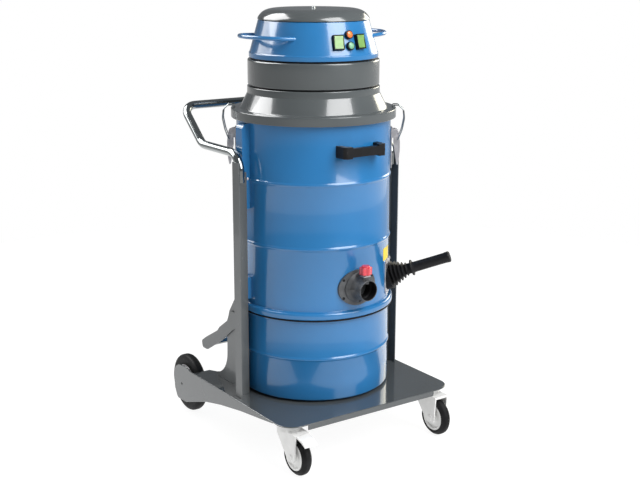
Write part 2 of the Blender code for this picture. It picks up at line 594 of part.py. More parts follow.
def make_latches():
    for name, azimuth in LATCH_AZ.items():
        turn = about_axis(azimuth)
        to_side = turn @ Matrix(((0, 0, 1, 0), (-1, 0, 0, 0), (0, 1, 0, 0), (0, 0, 0, 1)))
        axis = turn @ Vector((0, -LATCH_AXIS[0], LATCH_AXIS[1]))
        bail_axis = turn @ Vector((0, -LATCH_BAIL_AXIS[0], LATCH_BAIL_AXIS[1]))
        pin = turn @ Matrix.Translation((0, -LATCH_AXIS[0], LATCH_AXIS[1])) @ SIDE
        base = add_object(f"latch_base_{name}", box((-0.014, -0.2038, 0.712), (0.014, -0.2006, 0.818), turn), ZINC)
        ear = rounded([(0.2030, 0.7900, 0), (0.2200, 0.7950, 0.004), (0.2200, 0.8110, 0.004), (0.2030, 0.8160, 0)], 3)
        for side in (-0.0125, 0.0105):
            join(base, prism(ear, side, side + 0.0020, to_side))
        cut(base, rod(0.0028, -0.02, 0.02, 12, pin))
        grip = rounded([(0.2085, 0.8085, 0.003), (0.2085, 0.7700, 0), (0.2150, 0.7300, 0), (0.2165, 0.7200, 0.001),
                        (0.2195, 0.7200, 0.001), (0.2222, 0.7330, 0), (0.2245, 0.7560, 0.01), (0.2245, 0.7790, 0.01),
                        (0.2220, 0.8010, 0.004), (0.2190, 0.8085, 0.003)], 2)
        lever = add_object(f"latch_lever_{name}", prism(grip, -0.0098, 0.0098, to_side), ZINC, axis)
        channel = [(0.2000, 0.8062), (0.2000, 0.7200), (0.2175, 0.7225), (0.2202, 0.7335), (0.2225, 0.7560),
                   (0.2225, 0.7790), (0.2200, 0.8000), (0.2180, 0.8062)]
        cut(lever, prism(channel, -0.0080, 0.0080, to_side))
        join(lever, rod(0.0025, -0.0124, 0.0124, 12, pin))
        half = [(0.0102, *LATCH_BAIL_AXIS, 0), (0.0150, *LATCH_BAIL_AXIS, 0.003), (0.0150, 0.2290, 0.812, 0.05),
                (0.0150, 0.2350, 0.842, 0.04), (0.0150, 0.2325, 0.864, 0.012), (0.0150, 0.2200, 0.8757, 0.008),
                (0.0150, 0.2062, 0.8757, 0.002), (0.0150, 0.2045, 0.8724, 0.0015)]
        corners = [(x, -out, z, radius) for x, out, z, radius in half]
        corners += [(-x, y, z, radius) for x, y, z, radius in reversed(corners)]
        wire = swept(bent(corners, 2), 0.0016, 6)
        bmesh.ops.transform(wire, matrix=turn, verts=wire.verts)
        add_object(f"latch_bail_{name}", wire, CHROME, bail_axis)


# ------------------------------------------------------------------ the head

def make_filter():
    low, high = CHAMBER_TOP + GAP, 0.8628
    collar = [(0.1600, 0.8420), (0.1620, 0.8420), (0.1620, low), (0.2006, low), (0.2006, high), (0.1600, high)]
    add_object("filter_ring", turned(collar, DRUM_SIDES, True), ZINC)
    folds = 20
    bottom, top, floor, cloth = 0.520, 0.8596, 0.5230, 0.0025
    outer, inner = [], []
    for point in range(2 * folds):
        reach = 0.188 if point % 2 else 0.168
        turn = math.tau * point / (2 * folds)
        outer.append((reach * math.cos(turn), reach * math.sin(turn)))
        inner.append(((reach - cloth) * math.cos(turn), (reach - cloth) * math.sin(turn)))
    star = add_object("star_filter", prism(outer, bottom, top), CLOTH)
    cut(star, prism(inner, floor, top + 0.01))


def make_skirt():
    outer = [(RIM_R, RIM_BOTTOM), (RIM_R, RIM_TOP - 0.0015), (RIM_R - 0.0015, RIM_TOP), (0.1900, RIM_TOP + 0.0004),
             (0.1705, 0.9100), (0.1705, SKIRT_TOP)]
    inner = [(0.1500, SKIRT_TOP), (0.1500, 0.9240), (0.1680, 0.9240), (0.1680, 0.9100), (0.1870, 0.8690),
             (0.1870, 0.8663), (0.2013, 0.8663), (0.2013, RIM_BOTTOM)]
    add_object("head_skirt", turned(outer + inner, DRUM_SIDES, True), GREY)
    gasket("chamber_gasket", 0.1880, 0.2006, 0.8631, 0.8660)
    gasket("container_gasket", 0.1960, 0.2095, CONTAINER_TOP + GAP, CHAMBER_BOTTOM - GAP)
    gasket("silencer_gasket", 0.1500, RING_R - 0.001, SKIRT_TOP + GAP, RING_BOTTOM - GAP)
    silencer = [(0.1580, RING_BOTTOM), (RING_R, RING_BOTTOM), (RING_R, RING_TOP), (0.1580, RING_TOP)]
    add_object("silencer_ring", turned(silencer, DRUM_SIDES, True), GREY)
    gasket("housing_gasket", 0.1500, 0.1645, RING_TOP + GAP, HOUSING_BOTTOM - GAP)


def make_motors():
    low, high = 0.9992, 1.0020
    plate = add_object("motor_plate", rod(0.1595, low, high, DRUM_SIDES), STEEL)
    for name, sign in (("left", -1), ("right", 1)):
        centre = (sign * 0.066, 0, high)
        place = Matrix.Translation((sign * 0.066, 0, 0))
        cut(plate, rod(0.0200, 0.99, 1.01, 16, place))
        can = [(0.0220, 1.0023), (0.0620, 1.0023), (0.0620, 1.0420), (0.0430, 1.0450), (0.0430, 1.0800),
               (0.0410, 1.0800), (0.0410, 1.0430), (0.0600, 1.0400), (0.0600, 1.0043), (0.0220, 1.0043)]
        add_object(f"motor_can_{name}", turned(can, 20, True, place), ZINC, centre)
        rotor = [(0.0040, 1.0065), (0.0550, 1.0070), (0.0550, 1.0300), (0.0120, 1.0330), (0.0280, 1.0450),
                 (0.0280, 1.0720), (0.0120, 1.0740), (0.0120, 1.0840)]
        add_object(f"motor_rotor_{name}", turned(rotor, 16, place=place), COPPER, centre)


def make_housing():
    band_r = 0.1655
    outer = [(band_r, HOUSING_BOTTOM), (band_r, HOUSING_BAND_TOP - 0.001), (HOUSING_LOW_R, HOUSING_BAND_TOP),
             (HOUSING_HIGH_R, HOUSING_TOP)]
    inner = [(HOUSING_HIGH_R - HOUSING_WALL, HOUSING_TOP), (HOUSING_LOW_R - HOUSING_WALL, HOUSING_BAND_TOP),
             (HOUSING_LOW_R - HOUSING_WALL, HOUSING_BOTTOM)]
    housing = add_object("motor_housing", turned(outer + inner, DRUM_SIDES, True), BLUE)
    panel = {"left": math.radians(-11.8), "right": math.radians(11.8)}
    switch_z, half_w, half_h = 1.0434, 0.0140, 0.0185
    for name, azimuth in panel.items():
        place = on_housing(azimuth, switch_z)
        cut(housing, box((-half_w - GAP, -half_h - GAP, -0.012), (half_w + GAP, half_h + GAP, 0.012), place))
        bezel = add_object(f"switch_bezel_{name}", box((-half_w, -half_h, -0.0100), (half_w, half_h, 0.0095), place),
                           PLASTIC)
        cut(bezel, box((-half_w + 0.003, -half_h + 0.003, -0.0050), (half_w - 0.003, half_h - 0.003, 0.02), place))
        hinge = place @ Vector((0, 0, 0.0050))
        profile = [(-0.0135, 0.0080), (-0.0130, 0.0025), (0.0135, 0.0025), (0.0140, 0.0108), (0.0000, 0.0082)]
        rocker = prism(profile, -half_w + 0.0035, half_w - 0.0035, place @ SIDE)
        add_object(f"switch_rocker_{name}", rocker, GREEN, hinge)
    lens = [(0.0098, -0.0060), (0.0105, -0.0050), (0.0105, 0.0070), (0.0085, 0.0095), (0.0040, 0.0108)]
    for name, height, finish in (("amber", 1.0610, AMBER), ("green", 1.0345, GREEN)):
        place = on_housing(0, height)
        cut(housing, rod(0.0105 + GAP, -0.012, 0.012, 16, place))
        add_object(f"lamp_{name}", turned(lens, 16, place=place), finish)
    place = on_housing(math.pi, 1.040)
    cut(housing, rod(0.0083, -0.012, 0.012, 12, place))
    spigot = [(0.0080, -0.012), (0.0080, 0.0003), (0.0130, 0.0003), (0.0130, 0.0075),
              (0.0105, 0.0085), (0.0100, 0.0170), (0.0075, 0.0210), (0.0045, 0.0210), (0.0045, 0.0190)]
    add_object("cable_gland", turned(spigot, 16, place=place), PLASTIC)
    for name, sign in (("left", -1), ("right", 1)):
        bow = []
        for step in range(17):
            turn = math.radians(-100 + 200 * step / 16)
            bow.append(Vector((sign * (BOW_CENTRE_X + BOW_R * math.cos(turn)), BOW_R * math.sin(turn),
                               BOW_Z + BOW_RISE * math.cos(turn))))
        handle = add_object(f"head_handle_{name}", swept(bow, BOW_BAR_R, 10), BLUE)
        cone = [(0.02, HOUSING_BAND_TOP), (HOUSING_LOW_R + GAP, HOUSING_BAND_TOP), (HOUSING_HIGH_R + GAP, HOUSING_TOP),
                (0.02, HOUSING_TOP)]
        cut(handle, turned(cone, DRUM_SIDES))


def make_cap():
    inner = [(0.1040, 1.1174), (0.1172, 1.1148), (0.1276, 1.1100), (0.1350, 1.1030), (0.1396, 1.0960),
             (0.1400, CAP_BOTTOM)]
    outer = [(0.1428, CAP_BOTTOM), (0.1422, 1.0968), (0.1374, 1.1045), (0.1294, 1.1122), (0.1185, 1.1174),
             (0.1050, CAP_TOP)]
    cap = add_object("top_cap", turned(inner + outer, DRUM_SIDES), GREY)
    cut(cap, rod(0.0056, CAP_TOP - 0.0012, CAP_TOP + 0.001, 12))
    knob = [(0.0050, CAP_TOP - 0.0009), (0.0050, 1.1230), (0.0035, 1.1250)]
    add_object("cap_knob", turned(knob, 12), CHROME)


make_trolley()
make_rear_wheels()
make_casters()
make_uprights()
make_push_handle()
make_lift_lever()
make_cradle()
make_container()
make_chamber()
make_drum_handle()
make_inlet()
make_shaker()
make_latches()
make_filter()
make_skirt()
make_motors()
make_housing()
make_cap()
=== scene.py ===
"""Looks of the two-motor shop vacuum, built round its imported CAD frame."""

import json
import math

import bmesh
import bpy
from mathutils import Matrix, Vector


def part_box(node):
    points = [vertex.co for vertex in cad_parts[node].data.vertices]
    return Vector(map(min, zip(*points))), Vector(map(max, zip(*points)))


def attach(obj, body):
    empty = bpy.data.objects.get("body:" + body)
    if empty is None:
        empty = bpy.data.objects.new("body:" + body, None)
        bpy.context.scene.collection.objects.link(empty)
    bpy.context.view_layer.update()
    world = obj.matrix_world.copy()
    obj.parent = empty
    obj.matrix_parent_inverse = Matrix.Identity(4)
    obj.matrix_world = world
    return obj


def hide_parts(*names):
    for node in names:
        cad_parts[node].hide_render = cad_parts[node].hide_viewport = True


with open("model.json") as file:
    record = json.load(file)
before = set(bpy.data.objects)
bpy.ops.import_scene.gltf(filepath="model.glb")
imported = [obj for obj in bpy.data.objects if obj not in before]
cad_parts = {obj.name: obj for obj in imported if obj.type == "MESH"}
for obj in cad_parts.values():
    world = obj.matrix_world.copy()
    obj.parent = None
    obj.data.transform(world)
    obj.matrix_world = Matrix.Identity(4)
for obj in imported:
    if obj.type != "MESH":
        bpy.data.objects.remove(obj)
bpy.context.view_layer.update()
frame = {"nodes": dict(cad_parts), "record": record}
NODES = frame["nodes"]
SLOT_OF = {part["node"]: part["material_slot"] for part in frame["record"]["subparts"]}
BODY_OF = {node: body for body, nodes in frame["record"]["behaviour"]["bodies"].items() for node in nodes}

AXIS = sum(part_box("motor_housing"), Vector()) / 2
AXIS.z = 0                       # the drum's vertical axis
ROUND = 112                      # sides of the drum and what is coaxial with it
DRUM_R = 0.200
INLET_Z = 0.4335                 # heights of the openings in the filter chamber
SHAKER_AZ, SHAKER_Z = 44.5, 0.429
SHAKER_TILT = math.radians(20)
SIDE = Matrix(((0, 0, 1, 0), (1, 0, 0, 0), (0, 1, 0, 0), (0, 0, 0, 1)))
FRONT = Matrix(((1, 0, 0, 0), (0, 0, -1, 0), (0, 1, 0, 0), (0, 0, 0, 1)))
STAND = Matrix.Rotation(math.pi / 2, 4, "X")


def low(node):
    """Lowest height of a CAD node."""
    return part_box(node)[0].z


def high(node):
    """Highest height of a CAD node."""
    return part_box(node)[1].z


# ----------------------------------------------------------------- materials

def finish(name, colour, roughness, metallic=0.0, coat=0.0, tint=0.06, scale=14.0, rough_swing=0.06,
           grain=(900.0, 0.02), scuff=0.0, sheen=0.0, specular=0.5, stretch=(1, 1, 1)):
    """A surface with cloudy colour and gloss, a fine grain, and pale scuffs where scuff is set."""
    made = bpy.data.materials.new(name)
    made.use_nodes = True
    tree = made.node_tree
    shader = tree.nodes["Principled BSDF"]
    shader.inputs["Metallic"].default_value = metallic
    shader.inputs["Coat Weight"].default_value = coat
    shader.inputs["Coat Roughness"].default_value = 0.04
    shader.inputs["Sheen Weight"].default_value = sheen
    shader.inputs["Specular IOR Level"].default_value = specular

    def node(kind, **values):
        added = tree.nodes.new(kind)
        for key, value in values.items():
            if hasattr(added, key):
                setattr(added, key, value)
            else:
                added.inputs[key.replace("_", " ")].default_value = value
        return added

    where = node("ShaderNodeTexCoord")
    spread = node("ShaderNodeMapping")
    spread.inputs["Scale"].default_value = stretch
    tree.links.new(where.outputs["Object"], spread.inputs["Vector"])

    def noise(size, detail):
        added = node("ShaderNodeTexNoise", Scale=size, Detail=detail)
        tree.links.new(spread.outputs["Vector"], added.inputs["Vector"])
        return added.outputs["Fac"]

    cloud = noise(scale, 4.0)
    ramp = node("ShaderNodeValToRGB")
    dark = [c * (1 - tint) for c in colour]
    light = [min(c * (1 + tint) + 0.2 * tint * c, 1) for c in colour]
    first, last = ramp.color_ramp.elements
    first.position, last.position = 0.35, 0.68
    first.color = (*dark, 1)
    last.color = (*light, 1)
    tree.links.new(cloud, ramp.inputs["Fac"])
    paint = ramp.outputs["Color"]
    if scuff:
        marks = noise(scale * 9, 6.0)
        edge = node("ShaderNodeMapRange", From_Min=0.66, From_Max=0.74, To_Min=0.0, To_Max=scuff)
        tree.links.new(marks, edge.inputs["Value"])
        mix = node("ShaderNodeMix", data_type="RGBA")
        mix.inputs["B"].default_value = (0.45, 0.45, 0.44, 1)
        tree.links.new(edge.outputs["Result"], mix.inputs["Factor"])
        tree.links.new(paint, mix.inputs["A"])
        paint = mix.outputs["Result"]
    tree.links.new(paint, shader.inputs["Base Color"])
    gloss = node("ShaderNodeMapRange", To_Min=max(roughness - rough_swing, 0.02), To_Max=roughness + rough_swing)
    tree.links.new(noise(scale * 3.1, 3.0), gloss.inputs["Value"])
    tree.links.new(gloss.outputs["Result"], shader.inputs["Roughness"])
    bump = node("ShaderNodeBump", Strength=grain[1], Distance=0.001)
    tree.links.new(noise(grain[0], 2.0), bump.inputs["Height"])
    tree.links.new(bump.outputs["Normal"], shader.inputs["Normal"])
    return made


FINISH = {
    "blue": finish("blue_enamel", (0.018, 0.160, 0.390), 0.22, coat=0.65, tint=0.05, scale=5, grain=(420, 0.015)),
    "grey": finish("grey_enamel", (0.078, 0.088, 0.091), 0.20, coat=0.7, tint=0.05, scale=6, grain=(420, 0.02)),
    "steel": finish("slate_steel", (0.088, 0.097, 0.101), 0.34, metallic=0.05, coat=0.35, tint=0.06, scale=9,
                    grain=(600, 0.02), scuff=0.08),
    "plate": finish("slate_plate", (0.072, 0.080, 0.084), 0.14, metallic=0.05, coat=0.7, tint=0.05, scale=7,
                    rough_swing=0.04, grain=(300, 0.002)),
    "chrome": finish("chromed_steel", (0.34, 0.36, 0.36), 0.10, metallic=1.0, tint=0.05, scale=20,
                     rough_swing=0.05, grain=(800, 0.01)),
    "zinc": finish("zinc_plated", (0.56, 0.55, 0.57), 0.34, metallic=0.9, tint=0.16, scale=60, rough_swing=0.12,
                   grain=(900, 0.04)),
    "cast": finish("cast_metal", (0.085, 0.089, 0.094), 0.42, metallic=0.25, tint=0.2, scale=45, rough_swing=0.1,
                   grain=(700, 0.22)),
    "rubber": finish("black_rubber", (0.010, 0.010, 0.011), 0.5, tint=0.25, scale=30,
                     grain=(1200, 0.08), specular=0.14),
    "tyre": finish("tyre_rubber", (0.010, 0.010, 0.011), 0.55, tint=0.3, scale=35, rough_swing=0.1,
                   grain=(1100, 0.15), specular=0.16),
    "plastic": finish("black_plastic", (0.010, 0.010, 0.011), 0.40, tint=0.2, scale=25, grain=(1500, 0.12),
                       specular=0.22),
    "nylon": finish("pale_nylon", (0.80, 0.80, 0.79), 0.34, tint=0.05, scale=25, grain=(900, 0.04), scuff=0.1),
    "red": finish("red_plastic", (0.62, 0.045, 0.065), 0.2, coat=0.6, tint=0.12, scale=60, grain=(700, 0.03)),
    "green": finish("green_rocker", (0.19, 0.36, 0.10), 0.22, coat=0.5, tint=0.10, scale=80, grain=(800, 0.03)),
    "amber": finish("amber_lens", (0.86, 0.20, 0.04), 0.16, coat=0.6, tint=0.15, scale=90, grain=(500, 0.05)),
    "cloth": finish("filter_cloth", (0.74, 0.73, 0.69), 0.9, tint=0.1, scale=40, grain=(1600, 0.5), sheen=0.4),
    "motor": finish("wound_motor", (0.40, 0.18, 0.09), 0.45, metallic=0.7, tint=0.2, scale=60, grain=(900, 0.2)),
    "yellow": finish("yellow_film", (0.82, 0.60, 0.006), 0.40, coat=0.05, tint=0.05, scale=60, grain=(600, 0.03)),
    "teal": finish("green_lens", (0.22, 0.50, 0.30), 0.16, coat=0.6, tint=0.15, scale=90, grain=(500, 0.05)),
}

for node_name, node_object in NODES.items():
    node_object.data.materials.clear()
    node_object.data.materials.append(FINISH[SLOT_OF[node_name]])


# -------------------------------------------------------------- mesh helpers

def rounded(corners, steps=5, closed=True):
    """Points through (x, y, radius) corners, with an arc at each corner that has a radius."""
    outline = []
    count = len(corners)
    for index, (x, y, radius) in enumerate(corners):
        here = Vector((x, y))
        if radius <= 0 or (not closed and index in (0, count - 1)):
            outline.append((x, y))
            continue
        back = (Vector(corners[index - 1][:2]) - here).normalized()
        ahead = (Vector(corners[(index + 1) % count][:2]) - here).normalized()
        half = back.angle(ahead) / 2
        centre = here + (back + ahead).normalized() * (radius / math.sin(half))
        first = here + back * (radius / math.tan(half)) - centre
        last = here + ahead * (radius / math.tan(half)) - centre
        sweep = first.angle_signed(last)
        for step in range(steps + 1):
            outline.append(tuple(centre + Matrix.Rotation(-sweep * step / steps, 2) @ first))
    return outline


def turned(profile, sides=ROUND, ring=False, place=None):
    """Spin (radius, height) points about +Z; a ring's section closes on itself."""
    bm = bmesh.new()
    verts = [bm.verts.new((radius, 0, height)) for radius, height in profile]
    edges = [bm.edges.new(pair) for pair in zip(verts, verts[1:])]
    if ring:
        edges.append(bm.edges.new((verts[-1], verts[0])))
    bmesh.ops.spin(bm, geom=verts + edges, cent=(0, 0, 0), axis=(0, 0, 1), angle=math.tau, steps=sides,
                   use_merge=True)
    bmesh.ops.remove_doubles(bm, verts=bm.verts, dist=1e-6)
    if not ring:
        bmesh.ops.holes_fill(bm, edges=[e for e in bm.edges if e.is_boundary], sides=0)
    bmesh.ops.recalc_face_normals(bm, faces=bm.faces)
    if place:
        bmesh.ops.transform(bm, matrix=place, verts=bm.verts)
    return bm


def prism(outline, start, end, place=None):
    """Extrude an outline along local Z."""
    bm = bmesh.new()
    face = bm.faces.new([bm.verts.new((x, y, start)) for x, y in outline])
    made = bmesh.ops.extrude_face_region(bm, geom=[face])
    moved = [item for item in made["geom"] if isinstance(item, bmesh.types.BMVert)]
    bmesh.ops.translate(bm, verts=moved, vec=(0, 0, end - start))
    if place:
        bmesh.ops.transform(bm, matrix=place, verts=bm.verts)
    bmesh.ops.recalc_face_normals(bm, faces=bm.faces)
    return bm


def block(corner, opposite, place=None):
    """A block between two corners."""
    (x0, y0, z0), (x1, y1, z1) = corner, opposite
    return prism([(x0, y0), (x1, y0), (x1, y1), (x0, y1)], z0, z1, place)


def bent(corners, steps=8):
    """A 3-D path through (x, y, z, radius) corners."""
    path = [Vector(corners[0][:3])]
    for before, here, after in zip(corners, corners[1:], corners[2:]):
        point, radius = Vector(here[:3]), here[3]
        back = (Vector(before[:3]) - point).normalized()
        ahead = (Vector(after[:3]) - point).normalized()
        half = back.angle(ahead) / 2
        centre = point + (back + ahead).normalized() * (radius / math.sin(half))
        first = (point + back * (radius / math.tan(half)) - centre).normalized()
        last = (point + ahead * (radius / math.tan(half)) - centre).normalized()
        for step in range(steps + 1):
            path.append(centre + radius * first.slerp(last, step / steps))
    path.append(Vector(corners[-1][:3]))
    return path


def swept(path, radius, sides=20, bore=0.0, place=None):
    """A bar or tube along a path, with flat ends."""
    bm = bmesh.new()
    tangents = []
    for index in range(len(path)):
        before, after = path[max(index - 1, 0)], path[min(index + 1, len(path) - 1)]
        tangents.append((after - before).normalized())
    side = tangents[0].orthogonal().normalized()
    skins = {size: [] for size in ((radius, bore) if bore else (radius,))}
    for point, tangent in zip(path, tangents):
        side = (side - tangent * side.dot(tangent)).normalized()
        up = tangent.cross(side)
        for size, rings in skins.items():
            turns = [math.tau * i / sides for i in range(sides)]
            rings.append([bm.verts.new(point + size * (math.cos(a) * side + math.sin(a) * up)) for a in turns])
    for rings in skins.values():
        for first, second in zip(rings, rings[1:]):
            for i in range(sides):
                j = (i + 1) % sides
                bm.faces.new((first[i], first[j], second[j], second[i]))
    for end in (0, -1):
        outer = skins[radius][end]
        if bore:
            inner = skins[bore][end]
            for i in range(sides):
                j = (i + 1) % sides
                bm.faces.new((outer[i], outer[j], inner[j], inner[i]))
        else:
            bm.faces.new(outer)
    bmesh.ops.recalc_face_normals(bm, faces=bm.faces)
    if place:
        bmesh.ops.transform(bm, matrix=place, verts=bm.verts)
    return bm


def together(*shapes):
    """Several shapes in one mesh."""
    whole = bmesh.new()
    for shape in shapes:
        mesh = bpy.data.meshes.new("part")
        shape.to_mesh(mesh)
        shape.free()
        whole.from_mesh(mesh)
        bpy.data.meshes.remove(mesh)
    return whole


def combine(bm, operation, *others):
    """Exact Boolean of shapes, as a new bmesh."""
    held = []
    for shape in (bm, *others):
        mesh = bpy.data.meshes.new("solid")
        shape.to_mesh(mesh)
        shape.free()
        held.append(bpy.data.objects.new("solid", mesh))
        bpy.context.scene.collection.objects.link(held[-1])
    for other in held[1:]:
        step = held[0].modifiers.new("boolean", "BOOLEAN")
        step.operation, step.solver, step.object = operation, "EXACT", other
    bpy.context.view_layer.update()
    done = bpy.data.meshes.new_from_object(held[0].evaluated_get(bpy.context.evaluated_depsgraph_get()))
    result = bmesh.new()
    result.from_mesh(done)
    bpy.data.meshes.remove(done)
    for item in held:
        mesh = item.data
        bpy.data.objects.remove(item)
        bpy.data.meshes.remove(mesh)
    return result


def piece(name, bm, slot, body, *replaced, bevel=0.0, sharp=32, look=None, segments=2):
    """Put a shape, laid out about the drum's axis, into the scene on a CAD body."""
    bmesh.ops.translate(bm, verts=bm.verts, vec=AXIS)
    mesh = bpy.data.meshes.new(name)
    bm.to_mesh(mesh)
    bm.free()
    mesh.shade_smooth()
    mesh.set_sharp_from_angle(angle=math.radians(sharp))
    mesh.materials.append(look or FINISH[slot])
    made = bpy.data.objects.new(name, mesh)
    bpy.context.scene.collection.objects.link(made)
    if bevel:
        edge = made.modifiers.new("edges", "BEVEL")
        edge.width, edge.segments, edge.limit_method = bevel, segments, "ANGLE"
        edge.angle_limit = math.radians(sharp)
        edge.harden_normals = False
        even = made.modifiers.new("normals", "WEIGHTED_NORMAL")
        even.keep_sharp = True
        even.weight = 80
        mesh.shade_smooth()
        mesh.set_sharp_from_angle(angle=math.radians(80))
    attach(made, body)
    if replaced:
        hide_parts(*replaced)
    return made


def adopt(node, bevel, look=None, extra=None):
    """The CAD node's own shape with clean faces and broken edges."""
    bm = bmesh.new()
    bm.from_mesh(NODES[node].data)
    bmesh.ops.remove_doubles(bm, verts=bm.verts, dist=2e-6)
    bmesh.ops.dissolve_limit(bm, angle_limit=math.radians(0.4), verts=bm.verts, edges=bm.edges)
    bmesh.ops.translate(bm, verts=bm.verts, vec=-AXIS)
    if extra:
        bm = together(bm, *extra)
    return piece(f"{node}_shape", bm, SLOT_OF[node], BODY_OF[node], node, bevel=bevel, look=look)


def about_axis(azimuth):
    """Turn from the front of the drum to an azimuth in degrees, positive towards +X."""
    return Matrix.Rotation(math.radians(azimuth), 4, "Z")


def dome_screw(place, size, height):
    """Low round screw head with a round dimple on top, standing on local z = 0."""
    return turned([(0.0001, height * 0.55), (size * 0.2, height * 0.55), (size * 0.25, height),
                   (size * 0.7, height * 0.8), (size, height * 0.25), (size, -0.001), (0.0001, -0.001)], 16,
                  place=place)


def rectangle(half_width, half_height, radius, steps):
    """Outline of a rectangle about the origin with round corners."""
    signs = ((-1, -1), (1, -1), (1, 1), (-1, 1))
    return rounded([(x * half_width, y * half_height, radius) for x, y in signs], steps)


def polygon(count, reach_x, reach_y=None):
    """Points round a circle or an ellipse."""
    turns = [math.tau * i / count for i in range(count)]
    return [(reach_x * math.cos(a), (reach_y or reach_x) * math.sin(a)) for a in turns]


def drum_band(inner, outer, bottom=0.3, top=0.6, sides=96):
    """A thin tube that follows the drum's wall, between two distances outside it."""
    inner, outer = DRUM_R + inner, DRUM_R + outer
    return turned([(inner, bottom), (outer, bottom), (outer, top), (inner, top)], sides, True)


def on_drum(across, height, proud, azimuth=0.0):
    """A spot outside the drum's wall, with local z pointing out."""
    turn = azimuth + math.degrees(math.asin(across / DRUM_R))
    return about_axis(turn) @ Matrix.Translation((0, -DRUM_R - proud, height)) @ STAND


# ------------------------------------------------------------------- trolley

PLATE_LOW, PLATE_TOP = 0.1290, 0.1320
CHEEK_IN, CHEEK_OUT = 0.2627, 0.2656
plan = [(-0.196, 0.165, 0.004), (-0.214, 0.198, 0.004), (-0.2650, 0.198, 0), (-0.2650, -0.2733, 0.048)]
plan += [(-x, y, radius) for x, y, radius in reversed(plan)]
sheets = [prism(rounded(plan, 12), PLATE_LOW, PLATE_TOP),
          block((-0.200, -0.2729, 0.1160), (0.200, -0.2699, 0.1310)),
          block((-0.190, 0.1616, 0.1160), (0.190, 0.1646, 0.1310))]
cheek = rounded([(-0.2100, 0.1316, 0), (-0.2100, 0.1276, 0), (-0.1600, 0.1206, 0.2), (-0.0540, 0.1070, 0.3),
                 (0.0500, 0.0890, 0.2), (0.1330, 0.0700, 0.15), (0.2450, 0.0320, 0.02), (0.2950, 0.0300, 0.014),
                 (0.3110, 0.0600, 0.03), (0.3080, 0.1180, 0.02), (0.2800, 0.1345, 0.02), (0.2450, 0.1370, 0.02),
                 (0.2200, 0.1316, 0)], 8)
for near, far in ((-CHEEK_OUT, -CHEEK_IN), (CHEEK_IN, CHEEK_OUT)):
    hole = turned([(0.0033, -0.3), (0.0033, 0.3)], 20, place=Matrix.Translation((0, 0.267, 0.080)) @ SIDE)
    sheets.append(combine(prism(cheek, near, far, SIDE), "DIFFERENCE", hole))
piece("base_plate_sheets", together(*sheets), SLOT_OF["base_plate"], BODY_OF["base_plate"], "base_plate",
      bevel=0.0014, look=FINISH["plate"], segments=4)
NODES["rear_axle"].data.materials[0] = FINISH["plastic"]      # dark in the photo
for side in ("left", "right"):
    adopt(f"upright_{side}", 0.0006)
adopt("lift_lever", 0.0008, FINISH["steel"])
grip_bar = turned([(0.0104, -0.2150), (0.0104, 0.2150)], 32, place=Matrix.Translation((0, 0.2175, 0.204)) @ SIDE)
piece("lift_lever_bar", grip_bar, SLOT_OF["lift_lever"], BODY_OF["lift_lever"])
adopt("lift_cradle", 0.0004)

wheel_low, wheel_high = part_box("rear_tyre_left")
REAR_R = (wheel_high.z - wheel_low.z) / 2
HUB_HOLES = 6
for side in ("left", "right"):
    lo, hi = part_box(f"rear_tyre_{side}")
    centre = (lo + hi) / 2 - AXIS
    place = Matrix.Translation(centre) @ SIDE
    half = (hi.x - lo.x) / 2
    inner = 0.0523
    tread = [(inner, -half + 0.001, 0), (inner + 0.007, -half, 0.001), (REAR_R - 0.010, -half, 0.002),
             (REAR_R - 0.0025, -half + 0.004, 0.004), (REAR_R, -half + 0.009, 0.006), (REAR_R, half - 0.009, 0.006),
             (REAR_R - 0.0025, half - 0.004, 0.004), (REAR_R - 0.010, half, 0.002), (inner + 0.007, half, 0.001),
             (inner, half - 0.001, 0)]
    piece(f"rear_tyre_{side}_tread", turned(rounded(tread, 3), 72, True, place), "tyre", f"rear_wheel_{side}",
          f"rear_tyre_{side}", sharp=50)
    dish = [(0.0084, -half - 0.0018, 0), (0.0195, -half - 0.0018, 0.0015), (0.0195, -0.006, 0.003),
            (0.030, -0.0035, 0.003), (0.0455, -0.0035, 0.002), (0.0470, -half + 0.001, 0.0015),
            (0.0519, -half + 0.001, 0.0008), (0.0519, half - 0.001, 0.0008), (0.0470, half - 0.001, 0.0015),
            (0.0455, 0.0035, 0.002), (0.030, 0.0035, 0.003), (0.0195, 0.006, 0.003),
            (0.0195, half + 0.0018, 0.0015), (0.0084, half + 0.0018, 0)]
    rim = turned(rounded(dish, 3), 72, True, place)
    holes = []
    for x, y in polygon(HUB_HOLES, 0.0365):
        holes.append(turned([(0.0055, -0.02), (0.0055, 0.02)], 20, place=place @ Matrix.Translation((x, y, 0))))
    piece(f"rear_hub_{side}_rim", combine(rim, "DIFFERENCE", together(*holes)), SLOT_OF[f"rear_hub_{side}"],
          f"rear_wheel_{side}", f"rear_hub_{side}", sharp=35)

